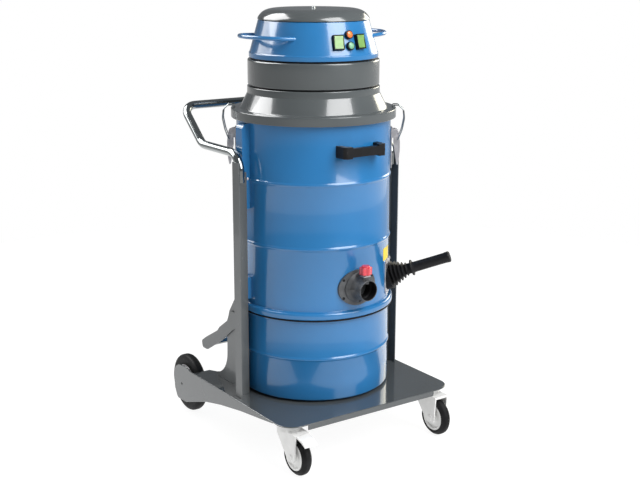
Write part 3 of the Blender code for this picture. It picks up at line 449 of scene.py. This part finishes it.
for side in ("left", "right"):
    lo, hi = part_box(f"caster_tyre_{side}")
    centre = (lo + hi) / 2 - AXIS
    place = Matrix.Translation(centre) @ SIDE
    half, radius = (hi.x - lo.x) / 2, (hi.z - lo.z) / 2
    tread = [(0.0368, -half + 0.001, 0), (0.040, -half, 0.001), (radius - 0.008, -half, 0.004),
             (radius, -half + 0.008, 0.007), (radius, half - 0.008, 0.007), (radius - 0.008, half, 0.004),
             (0.040, half, 0.001), (0.0368, half - 0.001, 0)]
    piece(f"caster_tyre_{side}_tread", turned(rounded(tread, 4), 64, True, place), "tyre", f"caster_wheel_{side}",
          f"caster_tyre_{side}", sharp=50)
    dish = [(0.0044, -0.0163, 0), (0.0120, -0.0163, 0.001), (0.0130, -0.009, 0.002), (0.0290, -0.0075, 0.002),
            (0.0310, -half + 0.0010, 0.001), (0.0364, -half + 0.0006, 0.001), (0.0364, half - 0.0006, 0.001),
            (0.0310, half - 0.0010, 0.001), (0.0290, 0.0075, 0.002), (0.0130, 0.009, 0.002),
            (0.0120, 0.0163, 0.001), (0.0044, 0.0163, 0)]
    piece(f"caster_rim_{side}_disc", turned(rounded(dish, 3), 64, True, place), "nylon", f"caster_wheel_{side}",
          f"caster_rim_{side}", sharp=40)
    caps = []
    for turn in (-1, 1):
        flip = Matrix.Translation((centre.x + turn * 0.0214, centre.y, centre.z)) @ Matrix.Rotation(
            turn * math.pi / 2, 4, "Y")
        caps.append(turned(rounded([(0.0001, 0.0018, 0), (0.0075, 0.0018, 0.001), (0.0085, -0.001, 0)], 3, False),
                           24, place=flip))
    adopt(f"caster_fork_{side}", 0.0016, extra=caps)
adopt("caster_brake_pedal", 0.0014)

# --------------------------------------------------------------- push handle

lo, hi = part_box("push_handle")
TUBE_R = 0.011
x_leg, y_bar, z_bar = hi.x - TUBE_R, hi.y - AXIS.y - TUBE_R, hi.z - TUBE_R
legs = [(x_leg, -0.0248, lo.z), (x_leg, -0.0248, 0.771, 0.045), (x_leg, 0.165, 0.771, 0.040),
        (x_leg, y_bar, z_bar, 0.036)]
path = bent(legs + [(-corner[0], *corner[1:]) for corner in reversed(legs)], 10)
piece("push_handle_tube", swept(path, TUBE_R - 0.0001, 28, TUBE_R - 0.0015), "chrome", "machine", "push_handle",
      bevel=0.0004, sharp=50)
spot = Matrix.Translation((-0.2064, -0.0099, 0.7042)) @ STAND
piece("bracket_screw", dome_screw(spot, 0.0036, 0.0022), "zinc", "machine", sharp=40)


# ------------------------------------------------------------------ the drum

def bead(centre):
    """Smooth rolled bead on the drum's wall, low to high."""
    proud, height, count = 0.0028, 0.012, 10
    return [(DRUM_R + proud * math.sin(math.pi * i / count) ** 1.3, centre + height * (i / count - 0.5))
            for i in range(count + 1)]


bottom, top = low("container"), high("container")
wall = [(0.0001, bottom)]
wall += rounded([(0.19, bottom, 0), (DRUM_R, bottom, 0.005), (DRUM_R, bottom + 0.05, 0)], 6, False)
wall += bead(0.249)
wall += rounded([(DRUM_R, top - 0.03, 0), (DRUM_R, top - 0.0065, 0.001), (0.2044, top - 0.0050, 0.0012),
                 (0.2044, top, 0.0012), (0.1980, top, 0.0005), (0.1980, bottom + 0.006, 0.003),
                 (0.0001, bottom + 0.003, 0)], 4, False)
piece("container_shell", turned(wall), "blue", "dust_container", "container", sharp=60)

bottom, top = low("filter_chamber"), high("filter_chamber")
wall = rounded([(0.1980, bottom + 0.02, 0), (0.1980, bottom, 0.0005), (0.2109, bottom, 0.0050),
                (0.2109, bottom + 0.018, 0.0065), (DRUM_R, bottom + 0.0190, 0.0015), (DRUM_R, bottom + 0.06, 0)],
               6, False)
wall += bead(0.5377) + bead(0.7006)
wall += [(DRUM_R, top), (0.1980, top)]
shell = turned(wall, ring=True)
brackets = []
for sign in (-1, 1):
    for z0, z1, soft in ((0.390, 0.4466, 0.010), (0.627, 0.843, 0.016)):
        outline = rounded([(0.1988, z0, 0), (0.2218, z0, 0.003), (0.2218, z1, soft), (0.1988, z1, 0)], 6)
        outline = [(sign * x, z) for x, z in outline]
        brackets.append(prism(outline, -0.020, 0.0099, FRONT))
bores = [turned([(0.0255, 0.15), (0.0255, 0.25)], 40, place=Matrix.Translation((0, 0, INLET_Z)) @ FRONT),
         turned([(0.0155, 0.15), (0.0155, 0.25)], 32,
                place=about_axis(SHAKER_AZ) @ Matrix.Translation((0, 0, SHAKER_Z)) @ FRONT)]
shell = combine(combine(shell, "DIFFERENCE", together(*bores)), "UNION", together(*brackets))
piece("filter_chamber_shell", shell, "blue", "machine", "filter_chamber", sharp=38)
for node in ("container_gasket", "chamber_gasket", "silencer_gasket", "housing_gasket"):
    lo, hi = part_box(node)
    inner = {"container_gasket": 0.196, "chamber_gasket": 0.188}.get(node, 0.150)
    outer = hi.x - (0.0030 if node in ("silencer_gasket", "housing_gasket") else 0)
    ring = rounded([(inner, lo.z, 0), (outer, lo.z, 0.0008), (outer, hi.z, 0.0008), (inner, hi.z, 0)], 3)
    piece(f"{node}_ring", turned(ring, ring=True), "rubber", "machine", node, sharp=60)

LABEL_AZ, LABEL_Z = 37.2, 0.4955
label = rectangle(0.0230, 0.0165, 0.002, 4)
plate = prism(label, 0.150, 0.230, about_axis(LABEL_AZ) @ Matrix.Translation((0, 0, LABEL_Z)) @ FRONT)
skin = drum_band(0.0001, 0.0004, 0.40, 0.60, ROUND)
piece("plain_label", combine(plate, "INTERSECT", skin), "blue", "machine", look=FINISH["yellow"], sharp=40)

# ------------------------------------------------------------------ the head

low_rim, top_rim = low("head_skirt"), high("head_skirt")
skirt = rounded([(0.2131, low_rim, 0.0010), (0.2131, 0.8700, 0.0020), (0.1905, 0.8702, 0.0035),
                 (0.1708, 0.9095, 0.004), (0.1704, top_rim, 0.0020), (0.1500, top_rim, 0), (0.1500, 0.9240, 0),
                 (0.1680, 0.9240, 0), (0.1680, 0.9100, 0), (0.1870, 0.8690, 0), (0.1870, 0.8663, 0),
                 (0.2013, 0.8663, 0), (0.2013, low_rim, 0)], 5)
piece("head_skirt_shell", turned(skirt, ring=True), "grey", "machine", "head_skirt", sharp=45)

lo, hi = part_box("silencer_ring")
ring = rounded([(0.158, lo.z, 0), (hi.x - 0.0001, lo.z, 0.0025), (hi.x - 0.0001, hi.z, 0.0040), (0.158, hi.z, 0)],
               5)
piece("silencer_ring_shell", turned(ring, ring=True), "grey", "machine", "silencer_ring", sharp=60)

SWITCH_AZ, SWITCH_Z = 11.8, 1.0434
AMBER_Z, GREEN_Z = 1.0610, 1.0345
GLAND_AZ, GLAND_Z = 180, 1.040
HOUSE_LOW, HOUSE_HIGH, HOUSE_BAND = low("motor_housing"), high("motor_housing"), 1.0120
HOUSE_LOW_R, HOUSE_HIGH_R = 0.1635, 0.1413


def housing_radius(height):
    """Outer radius of the motor housing's cone."""
    share = (height - HOUSE_BAND) / (HOUSE_HIGH - HOUSE_BAND)
    return HOUSE_LOW_R + share * (HOUSE_HIGH_R - HOUSE_LOW_R)


LEAN = math.atan((HOUSE_LOW_R - HOUSE_HIGH_R) / (HOUSE_HIGH - HOUSE_BAND))


def on_housing(azimuth, height):
    """Local x along the housing, y up its slope and z out of it."""
    out = Matrix.Translation((0, -housing_radius(height), height))
    return about_axis(azimuth) @ out @ Matrix.Rotation(math.pi / 2 - LEAN, 4, "X")


house = rounded([(0.1653, HOUSE_LOW, 0.0020), (0.1653, 1.0110, 0.0035), (0.1631, 1.0135, 0.0015),
                 (HOUSE_HIGH_R, HOUSE_HIGH, 0.0015), (0.1383, HOUSE_HIGH, 0), (0.1605, HOUSE_BAND, 0),
                 (0.1605, HOUSE_LOW, 0)], 5)
openings = []
for azimuth in (-SWITCH_AZ, SWITCH_AZ):
    openings.append(block((-0.0143, -0.0188, -0.012), (0.0143, 0.0188, 0.012), on_housing(azimuth, SWITCH_Z)))
for height in (AMBER_Z, GREEN_Z):
    openings.append(turned([(0.0108, -0.012), (0.0108, 0.012)], 32, place=on_housing(0, height)))
openings.append(turned([(0.0083, -0.012), (0.0083, 0.012)], 24, place=on_housing(GLAND_AZ, GLAND_Z)))
housing = turned(house, ring=True)
for opening in openings:
    housing = combine(housing, "DIFFERENCE", opening)
piece("motor_housing_shell", housing, "blue", "machine", "motor_housing", sharp=38)

lo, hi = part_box("top_cap")
crown = rounded([(0.1400, lo.z, 0), (0.1427, lo.z, 0.0006), (0.1422, 1.0968, 0.013), (0.1374, 1.1045, 0.038),
                 (0.1294, 1.1122, 0.032), (0.1185, 1.1174, 0.044), (0.1050, hi.z, 0.058), (0.0056, hi.z, 0)], 6,
                False)
inner = [(0.0056, hi.z - 0.0012), (0.0001, hi.z - 0.0012), (0.0001, hi.z - 0.0028), (0.1060, hi.z - 0.0028),
         (0.1300, hi.z - 0.0110), (0.1385, hi.z - 0.0190)]
piece("top_cap_shell", turned(crown + inner, ring=True), "grey", "machine", "top_cap", sharp=50)
stud = rounded([(0.0001, high("cap_knob"), 0), (0.0040, high("cap_knob"), 0.0015),
                (0.0050, low("cap_knob"), 0.0005), (0.0001, low("cap_knob"), 0)], 4, False)
piece("cap_knob_stud", turned(stud, 32), "chrome", "machine", "cap_knob", sharp=50)

BOW_X, BOW_Z, BOW_RISE, BOW_R = 0.112, 1.052, 0.004, 0.0921     # the head's lifting bars
BOW_SPAN, BOW_STEPS = 198, 40
for side, sign in (("left", -1), ("right", 1)):
    bow = []
    for step in range(BOW_STEPS + 1):
        turn = math.radians(-BOW_SPAN / 2 + BOW_SPAN * step / BOW_STEPS)
        out = BOW_X + BOW_R * math.cos(turn)
        bow.append(Vector((sign * out, BOW_R * math.sin(turn), BOW_Z + BOW_RISE * math.cos(turn))))
    cone = turned([(0.02, HOUSE_BAND - 0.01), (HOUSE_LOW_R + 0.0025, HOUSE_BAND - 0.01),
                   (HOUSE_HIGH_R - 0.002, HOUSE_HIGH + 0.008), (0.02, HOUSE_HIGH + 0.008)], 64)
    bar = combine(swept(bow, 0.0050, 20), "DIFFERENCE", cone)
    piece(f"head_handle_{side}_bar", bar, "blue", "machine", f"head_handle_{side}", sharp=50)

for side, azimuth in (("left", -SWITCH_AZ), ("right", SWITCH_AZ)):
    place = on_housing(azimuth, SWITCH_Z)
    body = prism(rectangle(0.0139, 0.0184, 0.0018, 4), -0.0099, 0.0095, place)
    well = block((-0.0121, -0.0166, -0.0050), (0.0121, 0.0166, 0.02), place)
    piece(f"switch_bezel_{side}_frame", combine(body, "DIFFERENCE", well), "plastic", "machine",
          f"switch_bezel_{side}", bevel=0.0005)
    rocker = [(-0.0155, 0.0078, 0.0004), (-0.0145, 0.0025, 0.0004), (0.0145, 0.0025, 0.0004),
              (0.0155, 0.0106, 0.0006), (0.0000, 0.0082, 0.012)]
    piece(f"switch_rocker_{side}_key", prism(rounded(rocker, 5), -0.0116, 0.0116, place @ SIDE), "green",
          f"rocker_{side}", f"switch_rocker_{side}", bevel=0.0004)

for node, height, look in (("lamp_amber", AMBER_Z, "amber"), ("lamp_green", GREEN_Z, "teal")):
    place = on_housing(0, height)
    dome = rounded([(0.0001, 0.0098, 0), (0.0035, 0.0098, 0.001), (0.0080, 0.0082, 0.0015), (0.0086, -0.005, 0),
                    (0.0001, -0.005, 0)], 4, False)
    lens = turned(dome, 48, place=place)
    ribs = []
    for index in range(10):
        spoke = place @ Matrix.Rotation(math.tau * index / 10, 4, "Z")
        ribs.append(prism([(0.0030, 0.0090), (0.0082, 0.0070), (0.0082, 0.0086), (0.0034, 0.0106)], -0.0005, 0.0005,
                          spoke @ STAND))
    piece(f"{node}_lens", together(lens, *ribs), SLOT_OF[node], "machine", node, look=FINISH[look], sharp=40)
    collar = rounded([(0.0087, -0.005, 0), (0.0104, -0.005, 0), (0.0104, 0.0072, 0.0006),
                      (0.0087, 0.0080, 0.0006)], 3)
    piece(f"{node}_collar", turned(collar, 48, True, place), "plastic", "machine", sharp=50)

place = on_housing(GLAND_AZ, GLAND_Z)
nut = polygon(6, 0.0130)
barrel = rounded([(0.0001, -0.0118, 0), (0.0079, -0.0118, 0.0005), (0.0079, 0.0004, 0), (0.0128, 0.0004, 0.0005),
                  (0.0128, 0.0022, 0.0008), (0.0108, 0.0024, 0), (0.0108, 0.0080, 0), (0.0100, 0.0168, 0.003),
                  (0.0072, 0.0208, 0.001), (0.0046, 0.0208, 0.0005), (0.0044, 0.0190, 0.0003),
                  (0.0001, 0.0190, 0)], 3, False)
nut = combine(prism(nut, 0.0024, 0.0078, place), "DIFFERENCE",
              turned([(0.0105, 0), (0.0105, 0.02)], 32, place=place))
gland = together(turned(barrel, 40, place=place), nut)
piece("cable_gland_body", gland, "plastic", "machine", "cable_gland", bevel=0.0003, sharp=45)

# ------------------------------------------------------- fittings on the drum

z0, z1 = low("drum_handle"), high("drum_handle")
pull = rounded([(-0.0629, -0.190, 0), (-0.0629, -0.2299, 0.010), (0.0629, -0.2299, 0.010), (0.0629, -0.190, 0),
                (0.0475, -0.190, 0), (0.0470, -0.2180, 0.008), (-0.0470, -0.2180, 0.008), (-0.0475, -0.190, 0)], 8)
pull = combine(prism(pull, z0, z1), "DIFFERENCE", turned([(DRUM_R + 0.0002, 0.7), (DRUM_R + 0.0002, 0.9)]))
waist = block((-0.040, -0.2400, z0 - 0.01), (0.040, -0.2100, z0 + 0.0035))
crest = block((-0.040, -0.2400, z1 - 0.0035), (0.040, -0.2100, z1 + 0.01))
pull = combine(combine(pull, "DIFFERENCE", waist), "DIFFERENCE", crest)
piece("drum_handle_pull", pull, "plastic", "machine", "drum_handle", bevel=0.0022, segments=3)
screws = []
for sign in (-1, 1):
    spot = Matrix.Translation((sign * 0.0545, -0.2298, (z0 + z1) / 2)) @ FRONT @ Matrix.Translation((0, 0, -0.001))
    screws.append(dome_screw(spot, 0.0045, 0.0011))
piece("drum_handle_screws", together(*screws), "plastic", "machine", sharp=40)

place = Matrix.Translation((0, 0, INLET_Z)) @ FRONT
valve_axis = Matrix.Translation((0, -0.233, 0))
oval = polygon(72, 0.0573, 0.0464)
flange = combine(prism(oval, 0.150, 0.230, place), "INTERSECT", drum_band(0.0003, 0.0052))
neck = rounded([(0.0226, 0.1865, 0), (0.0249, 0.1865, 0), (0.0249, 0.2012, 0), (0.0405, 0.2012, 0),
                (0.0405, 0.2050, 0.003), (0.0320, 0.2130, 0.006), (0.0284, 0.2215, 0.004),
                (0.0268, 0.2300, 0.004), (0.0268, 0.2469, 0.0008), (0.0250, 0.2469, 0.0005), (0.0250, 0.2255, 0),
                (0.0226, 0.2230, 0)], 5)
ribs = []
for turn in (0, 180, 270):          # the valve's boss takes the place of the upper one
    web = prism([(0.0250, 0.2300), (0.0250, 0.2030), (0.0425, 0.2030), (0.0390, 0.2070)], -0.0020, 0.0020)
    bmesh.ops.transform(web, matrix=place @ Matrix.Rotation(math.radians(turn), 4, "Z") @ STAND, verts=web.verts)
    ribs.append(web)
boss = rounded([(0.0001, 0.450, 0), (0.0088, 0.450, 0), (0.0088, 0.4676, 0.0008), (0.0001, 0.4676, 0)], 3, False)
boss = turned(boss, 32, place=valve_axis)
piece("inlet_nozzle_casting", together(flange, turned(neck, 72, True, place), boss, *ribs), "cast", "machine",
      "inlet_nozzle", sharp=35)
# black sleeve inside the nozzle's bore: painted shade, put there so the bore reads dark
bore_shade = [(0.0222, 0.1870), (0.0222, 0.2232), (0.0246, 0.2259), (0.0246, 0.2455), (0.0249, 0.2455),
          (0.0249, 0.2256), (0.0225, 0.2230), (0.0225, 0.1870)]
piece("inlet_nozzle_bore_shade", turned(bore_shade, 72, True, place), "rubber", "machine", sharp=40)
bolts = []
for across, up in ((-0.0426, 0.0238), (0.0426, 0.0238), (-0.0426, -0.0238), (0.0426, -0.0238)):
    bolts.append(dome_screw(on_drum(across, INLET_Z + up, 0.0054), 0.0036, 0.0022))
piece("inlet_nozzle_screws", together(*bolts), "plastic", "machine", sharp=40)

strap = rectangle(0.0114, 0.009, 0.002, 4)
collar = turned(rounded([(0.0001, 0.4685, 0), (0.0098, 0.4685, 0), (0.0098, 0.4715, 0.0008), (0.0070, 0.4722, 0),
                         (0.0070, 0.4734, 0), (0.0001, 0.4734, 0)], 3, False), 32, place=valve_axis)
piece("valve_body_foot", together(prism(strap, 0.4684, 0.4700, valve_axis), collar), "zinc", "machine",
      "valve_body", bevel=0.0003)
lobes = []
for index in range(96):
    turn = math.tau * index / 96
    reach = 0.0147 + 0.0014 * math.cos(6 * turn + math.pi)
    lobes.append((reach * math.cos(turn), reach * math.sin(turn)))
knob = prism(lobes, 0.4740, 0.4930, valve_axis)
top = rounded([(0.0001, 0.4920, 0), (0.0110, 0.4920, 0), (0.0105, 0.4968, 0.002), (0.0001, 0.4968, 0)], 4, False)
top = turned(top, 40, place=valve_axis)
piece("valve_knob_grip", together(knob, top), "red", "valve", "valve_knob", bevel=0.0012, segments=3, sharp=50)

# ------------------------------------------------------------- filter shaker

SHAKER_PLATE_Z = 0.431
outline = rectangle(0.0338, 0.0458, 0.008, 6)
spot = about_axis(SHAKER_AZ) @ Matrix.Translation((0, 0, SHAKER_PLATE_Z)) @ FRONT
flange = combine(prism(outline, 0.150, 0.230, spot), "INTERSECT", drum_band(0.0003, 0.0032))
hole = turned([(0.0160, 0.15), (0.0160, 0.25)], 32,
              place=about_axis(SHAKER_AZ) @ Matrix.Translation((0, 0, SHAKER_Z)) @ FRONT)
piece("shaker_flange_plate", combine(flange, "DIFFERENCE", hole), "zinc", "machine", "shaker_flange", bevel=0.0004)
screws = []
for across in (-0.027, 0.027):
    for up in (-0.0385, 0.0385):
        screws.append(dome_screw(on_drum(across, SHAKER_PLATE_Z + up, 0.0032, SHAKER_AZ), 0.0036, 0.0020))
piece("shaker_flange_screws", together(*screws), "zinc", "machine", sharp=40)

pivot = about_axis(SHAKER_AZ) @ Vector((0, -DRUM_R, SHAKER_Z))
place = Matrix.Translation(pivot) @ about_axis(SHAKER_AZ) @ FRONT @ Matrix.Rotation(-SHAKER_TILT, 4, "X")
outside = [(0.0376, -0.020), (0.0376, 0.0050)]
FOLDS, FOLD_STEPS = 5, 12
for step in range(FOLDS * FOLD_STEPS + 1):
    share = step / (FOLDS * FOLD_STEPS)
    wave = 0.5 - 0.5 * math.cos(math.tau * FOLDS * share)
    crest = 0.0380 - 0.0195 * share
    depth = 0.0105 - 0.0045 * share
    outside.append((crest - depth * wave ** 0.75, 0.0085 + 0.0460 * share))
outside += rounded([(0.0150, 0.0565, 0), (0.0142, 0.0590, 0.001), (0.0142, 0.0666, 0.0008),
                    (0.0068, 0.0666, 0)], 3, False)
inside = [(0.0068, 0.0560), (0.0110, 0.0500), (0.0150, 0.0300), (0.0190, 0.0120), (0.0300, -0.004),
          (0.0300, -0.020)]
boot = turned(outside + inside, 72, True, place)
boot = combine(boot, "DIFFERENCE", turned([(DRUM_R + 0.0035, 0.3), (DRUM_R + 0.0035, 0.6)], 96))
piece("shaker_boot_bellows", boot, "rubber", "shaker", "shaker_boot", sharp=60)
rod = rounded([(0.0001, -0.040, 0), (0.0059, -0.040, 0.001), (0.0059, -0.007, 0.001), (0.0090, -0.003, 0.001),
               (0.0090, 0.003, 0.001), (0.0059, 0.007, 0.001), (0.0059, 0.148, 0.001), (0.0001, 0.148, 0)], 3,
              False)
piece("shaker_lever_rod", turned(rod, 32, place=place), "zinc", "shaker", "shaker_lever", sharp=45)
grip = rounded([(0.0001, 0.1488, 0), (0.0062, 0.1488, 0), (0.0062, 0.0674, 0), (0.0214, 0.0674, 0.0008),
                (0.0214, 0.0706, 0.0012), (0.0150, 0.0718, 0.001), (0.0140, 0.0760, 0.003), (0.0136, 0.120, 0.02),
                (0.0137, 0.158, 0.02), (0.0149, 0.1715, 0.0025), (0.0125, 0.1734, 0.0015), (0.0001, 0.1734, 0)],
               4, False)
piece("shaker_grip_handle", turned(grip, 56, place=place), "plastic", "shaker", "shaker_grip", sharp=50)

# ------------------------------------------------------------------- latches

LATCH_AZ = 55.0
for side, azimuth in (("right", LATCH_AZ), ("left", LATCH_AZ - 180)):
    turn = about_axis(azimuth)
    to_side = turn @ Matrix(((0, 0, 1, 0), (-1, 0, 0, 0), (0, 1, 0, 0), (0, 0, 0, 1)))
    rivets = [dome_screw(turn @ Matrix.Translation((0, -0.2037, height)) @ STAND, 0.0040, 0.0022)
              for height in (0.722, 0.745)]
    adopt(f"latch_base_{side}", 0.0005, extra=rivets)
    grip = rounded([(0.2086, 0.8084, 0.003), (0.2086, 0.7700, 0.004), (0.2150, 0.7300, 0.004),
                    (0.2165, 0.7201, 0.001), (0.2195, 0.7201, 0.001), (0.2221, 0.7330, 0.006),
                    (0.2244, 0.7560, 0.012), (0.2244, 0.7790, 0.012), (0.2219, 0.8010, 0.004),
                    (0.2190, 0.8084, 0.003)], 5)
    channel = rounded([(0.2000, 0.8062, 0), (0.2000, 0.7200, 0), (0.2175, 0.7225, 0), (0.2202, 0.7335, 0.004),
                       (0.2225, 0.7560, 0.010), (0.2225, 0.7790, 0.010), (0.2200, 0.8000, 0.003),
                       (0.2180, 0.8062, 0)], 4)
    plate = combine(prism(grip, -0.0097, 0.0097, to_side), "DIFFERENCE", prism(channel, -0.0081, 0.0081, to_side))
    pin = turned([(0.0024, -0.0123), (0.0024, 0.0123)], 20,
                 place=turn @ Matrix.Translation((0, -0.2160, 0.8030)) @ SIDE)
    piece(f"latch_lever_{side}_plate", together(plate, pin), "zinc",
          f"latch_lever_{side}", f"latch_lever_{side}", bevel=0.0004)
    half = [(0.0102, 0.2190, 0.7860, 0), (0.0150, 0.2190, 0.7860, 0.003), (0.0150, 0.2290, 0.812, 0.05),
            (0.0150, 0.2350, 0.842, 0.04), (0.0150, 0.2325, 0.864, 0.012), (0.0150, 0.2200, 0.8757, 0.008),
            (0.0150, 0.2062, 0.8757, 0.002), (0.0150, 0.2045, 0.8724, 0.0015)]
    corners = [(x, -out, z, radius) for x, out, z, radius in half]
    corners += [(-x, y, z, radius) for x, y, z, radius in reversed(corners)]
    piece(f"latch_bail_{side}_wire", swept(bent(corners, 7), 0.00155, 12, place=turn), "chrome",
          f"latch_bail_{side}", f"latch_bail_{side}", sharp=60)

# ------------------------------------------------------------ floor and light

FLOOR_R, FLOOR_SIDES = 2.4, 96

floor_mesh = bpy.data.meshes.new("floor")
rim = [(x, y, -0.0005) for x, y in polygon(FLOOR_SIDES, FLOOR_R)]
floor_mesh.from_pydata(rim, [], [tuple(range(FLOOR_SIDES))])
floor = bpy.data.objects.new("floor", floor_mesh)
bpy.context.scene.collection.objects.link(floor)
pale = finish("pale_floor", (0.14, 0.14, 0.14), 0.6, tint=0.01, scale=3, grain=(200, 0.01))
glow = pale.node_tree.nodes["Principled BSDF"].inputs
glow["Emission Color"].default_value = (1, 1, 1, 1)
glow["Emission Strength"].default_value = 0.92
floor_mesh.materials.append(pale)

world = bpy.data.worlds.new("studio")
bpy.context.scene.world = world
world.use_nodes = True
tree = world.node_tree
output = tree.nodes["World Output"]


def background(colour, strength):
    """A background shader of one brightness."""
    made = tree.nodes.new("ShaderNodeBackground")
    made.inputs["Color"].default_value = (*colour, 1)
    made.inputs["Strength"].default_value = strength
    return made.outputs["Background"]


def choose(first, second, when):
    """The second shader where a light-path output is 1, else the first."""
    mix = tree.nodes.new("ShaderNodeMixShader")
    tree.links.new(rays.outputs[when], mix.inputs["Fac"])
    tree.links.new(first, mix.inputs[1])
    tree.links.new(second, mix.inputs[2])
    return mix.outputs["Shader"]


rays = tree.nodes.new("ShaderNodeLightPath")
soft = background((1.0, 1.0, 1.0), 0.38)
below = background((1.0, 1.0, 1.0), 0.55)
above = background((0.90, 0.95, 1.0), 0.20)
where = tree.nodes.new("ShaderNodeTexCoord")
apart = tree.nodes.new("ShaderNodeSeparateXYZ")
tree.links.new(where.outputs["Generated"], apart.inputs["Vector"])
horizon = tree.nodes.new("ShaderNodeMapRange")
horizon.inputs["From Min"].default_value, horizon.inputs["From Max"].default_value = -0.04, 0.03
tree.links.new(apart.outputs["Z"], horizon.inputs["Value"])
sky = tree.nodes.new("ShaderNodeMixShader")
tree.links.new(horizon.outputs["Result"], sky.inputs["Fac"])
tree.links.new(below, sky.inputs[1])
tree.links.new(above, sky.inputs[2])
mirrored = sky.outputs["Shader"]
seen = background((1.0, 1.0, 1.0), 1.0)
tree.links.new(choose(choose(soft, mirrored, "Is Glossy Ray"), seen, "Is Camera Ray"), output.inputs["Surface"])


def softbox(name, azimuth, elevation, distance, width, height, radiance, colour=(1, 1, 1), diffuse=False):
    """A rectangular light that faces the drum's axis at AIM_Z."""
    lamp = bpy.data.lights.new(name, "AREA")
    lamp.shape, lamp.size, lamp.size_y = "RECTANGLE", width, height
    lamp.energy, lamp.color = radiance * math.pi * width * height, colour
    made = bpy.data.objects.new(name, lamp)
    turn, tilt = math.radians(azimuth), math.radians(elevation)
    away = Vector((math.sin(turn) * math.cos(tilt), -math.cos(turn) * math.cos(tilt), math.sin(tilt)))
    made.location = AXIS + Vector((0, 0, AIM_Z)) + distance * away
    made.rotation_euler = away.to_track_quat("Z", "Y").to_euler()
    made.visible_diffuse = diffuse
    bpy.context.scene.collection.objects.link(made)


AIM_Z, AWAY = 0.85, 3.2
softbox("left_box", -140, 42, AWAY, 2.6, 2.2, 9.5)
softbox("left_skirt_box", -137, 16, AWAY, 2.0, 0.8, 4.0, diffuse=True)
softbox("front_box", 16, 43, AWAY, 2.0, 2.2, 8.5, diffuse=True)
softbox("front_skirt_box", 16, 16, AWAY, 2.0, 0.8, 6.0, diffuse=True)
softbox("rear_box", 107, 12, AWAY, 1.7, 1.2, 5.5, (1, 0.94, 0.78))

# --------------------------------------------------------------------- camera

CAMERA_AT = Vector((-1.6714, -2.4565, 1.2621))       # solved from the photo, about the drum's axis
CAMERA_AHEAD = Vector((0.5502, 0.7985, -0.2441))
CAMERA_RIGHT = Vector((0.8237, -0.5670, 0.0018))

lens = bpy.data.cameras.new("camera")
lens.sensor_width, lens.lens = 36.0, 64.78
lens.clip_start, lens.clip_end = 0.05, 100
camera = bpy.data.objects.new("camera", lens)
ahead = CAMERA_AHEAD.normalized()
right = (CAMERA_RIGHT - ahead * CAMERA_RIGHT.dot(ahead)).normalized()
up = right.cross(ahead)
camera.matrix_world = Matrix.Translation(AXIS + CAMERA_AT) @ Matrix((right, up, -ahead)).transposed().to_4x4()
bpy.context.scene.collection.objects.link(camera)
bpy.context.scene.camera = camera
bpy.context.scene.view_settings.view_transform = "Standard"
